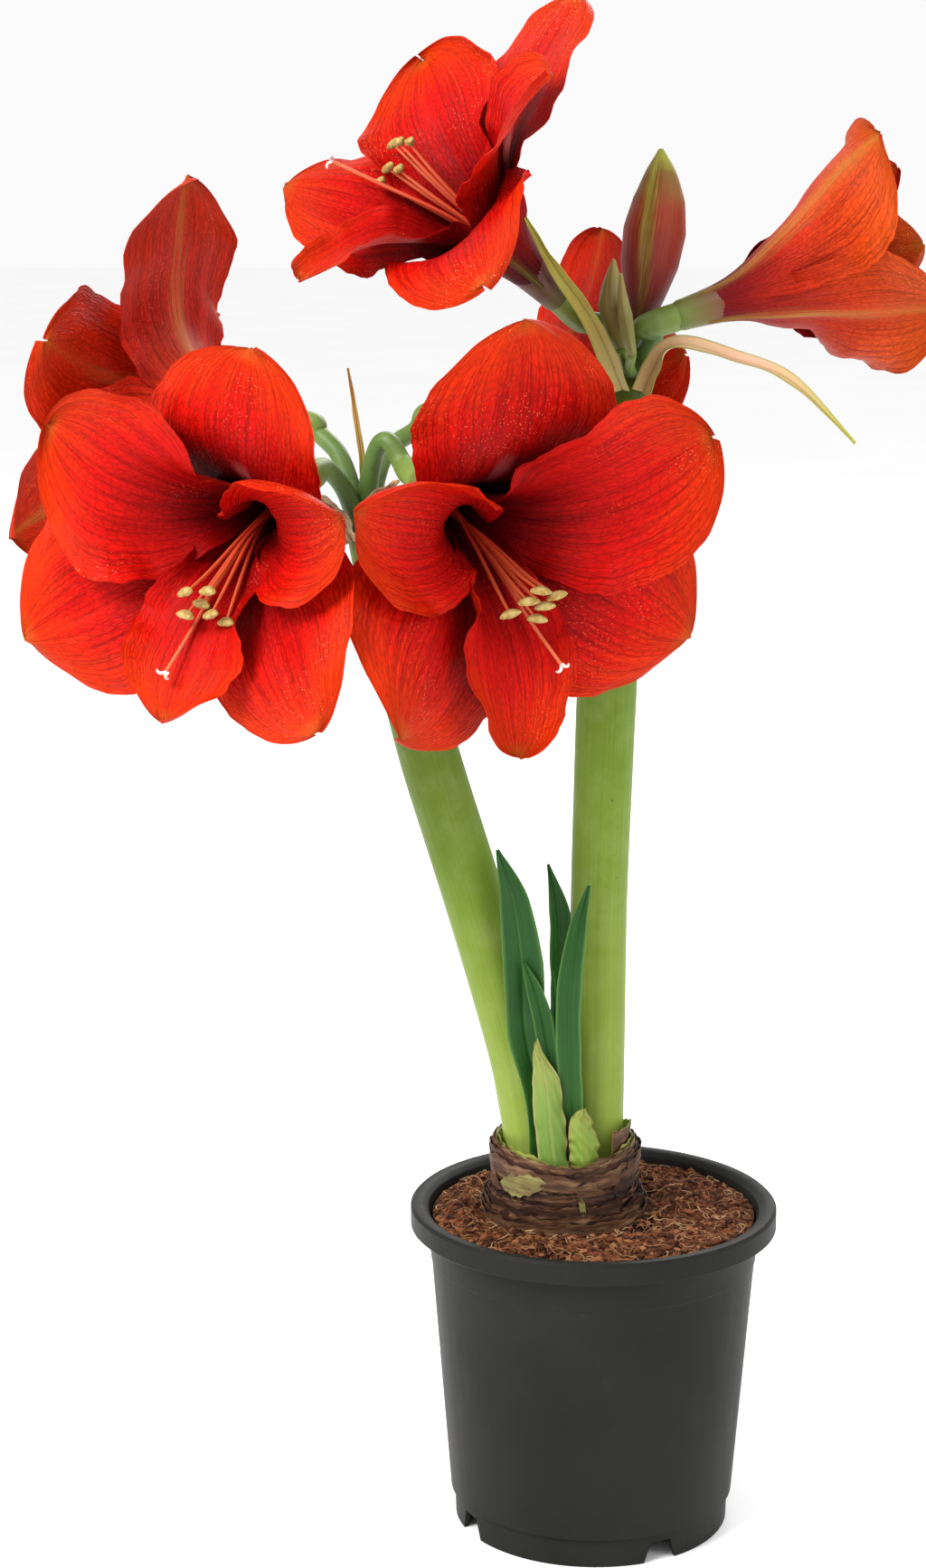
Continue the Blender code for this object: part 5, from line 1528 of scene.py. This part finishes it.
def add_pot_cutters(tools):
    """The notches of the foot ring, and the drain holes of the base plate."""
    for k in range(4):
        turn = math.radians(NOTCH_CLOCK + 90 * k)
        out = np.array([math.sin(turn), -math.cos(turn), 0])
        side = np.array([math.cos(turn), math.sin(turn), 0])
        corners = ((-NOTCH_FOOT / 2, -1), (NOTCH_FOOT / 2, -1),
                   (NOTCH_TOP / 2, NOTCH_HEIGHT), (-NOTCH_TOP / 2, NOTCH_HEIGHT))
        near, far = ([out * distance + side * half + np.array([0, 0, height])
                      for half, height in corners]
                     for distance in (FOOT_RADIUS - 5, FOOT_RADIUS + 4))
        prism(f"notch_{k}", near, far, tools)
    for k in range(6):
        turn = math.radians(60 * k)
        x, y = DRAIN_CIRCLE * math.sin(turn), -DRAIN_CIRCLE * math.cos(turn)
        corners = np.radians(DRAIN_CLOCK + 360 / DRAIN_SIDES * np.arange(DRAIN_SIDES))
        low, high = ([(x + DRAIN_RADIUS * math.cos(a), y + DRAIN_RADIUS * math.sin(a), height)
                      for a in corners]
                     for height in (BASE_HEIGHT - 2, BASE_HEIGHT + BASE_PLATE + 2))
        prism(f"drain_{k}", low, high, tools)


def make_fine_pot(looks):
    """The CAD's pot with a rounder wall."""
    collection = bpy.context.scene.collection
    tools = bpy.data.collections.new("pot_cutters")
    collection.children.link(tools)
    add_pot_cutters(tools)
    pot = turned("pot_fine", pot_profile(), POT_SIDES, collection)
    carve(pot, tools)
    pot.data.materials.clear()
    pot.data.materials.append(looks["pot_plastic"].material)
    pot.data.polygons.foreach_set("use_smooth", [True] * len(pot.data.polygons))
    pot.data.set_sharp_from_angle(angle=math.radians(POT_SHARP))
    kept(pot, "pot_plastic", "pot")


# Camera, light and floor


def area_light(name, location, target, size, power):
    light = bpy.data.lights.new(name, "AREA")
    light.shape = "RECTANGLE"
    light.size, light.size_y = size
    light.energy = power
    made = bpy.data.objects.new(name, light)
    made.location = location
    heading = Vector(target) - made.location
    made.rotation_euler = heading.to_track_quat("-Z", "Y").to_euler()
    bpy.context.scene.collection.objects.link(made)


def make_camera():
    camera = bpy.data.objects.new("camera", bpy.data.cameras.new("camera"))
    camera.data.sensor_width = SENSOR
    camera.data.lens = CAMERA_FOCAL * SENSOR / PHOTO_HEIGHT
    camera.location = (CAMERA_X * MM, -CAMERA_DISTANCE * MM, CAMERA_HEIGHT * MM)
    camera.rotation_euler = (math.pi / 2 - CAMERA_PITCH, 0, 0)
    bpy.context.scene.collection.objects.link(camera)
    bpy.context.scene.camera = camera


def make_floor():
    look = Look("floor", Specular_IOR_Level=0.2)
    grain = look.noise(look.place(), 3.0, 2.0)
    look.colour(look.ramp(grain, (0.3, (0.96, 0.96, 0.96)), (0.7, (0.98, 0.98, 0.98))))
    look.rough(grain, 0.85, 0.9)
    mesh = bpy.data.meshes.new("floor")
    shape = bmesh.new()
    bmesh.ops.create_grid(shape, x_segments=8, y_segments=8, size=14.0)
    shape.to_mesh(mesh)
    shape.free()
    mesh.materials.append(look.material)
    made = bpy.data.objects.new("floor", mesh)
    made.location = (0, 0, -0.2 * MM)
    bpy.context.scene.collection.objects.link(made)


def make_studio():
    make_camera()
    area_light("key", (-1.5, -1.3, 1.9), (-0.05, 0, 0.35), (1.1, 1.1), 88)
    area_light("fill", (1.7, -1.1, 0.9), (0, 0, 0.3), (1.0, 1.4), 16)
    area_light("rim", (0.6, 1.6, 1.4), (0, 0, 0.35), (1.2, 1.0), 22)
    world = bpy.data.worlds.new("world")
    world.use_nodes = True
    background = world.node_tree.nodes["Background"]
    background.inputs["Color"].default_value = (1.0, 1.0, 1.0, 1)
    background.inputs["Strength"].default_value = 0.96
    bpy.context.scene.world = world
    bpy.context.scene.view_settings.view_transform = "Standard"
    make_floor()


def main():
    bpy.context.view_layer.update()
    make_studio()
    looks = make_looks()
    make_fine_pot(looks)
    make_fine_soil(looks)
    make_fine_bulb(looks)
    make_fine_neck_scale(looks)
    make_fine_stalk("stalk_left", STALK_LEFT, "CBAH", looks)
    make_fine_stalk("stalk_right", STALK_RIGHT, "EG", looks, BUD_STUBS)
    make_fine_buds(looks)
    make_fine_strips(looks)
    for key, flower in FLOWERS.items():
        make_flower(key, flower, looks)
        make_fine_stamens(key, flower, STAMENS[key], looks)


main()
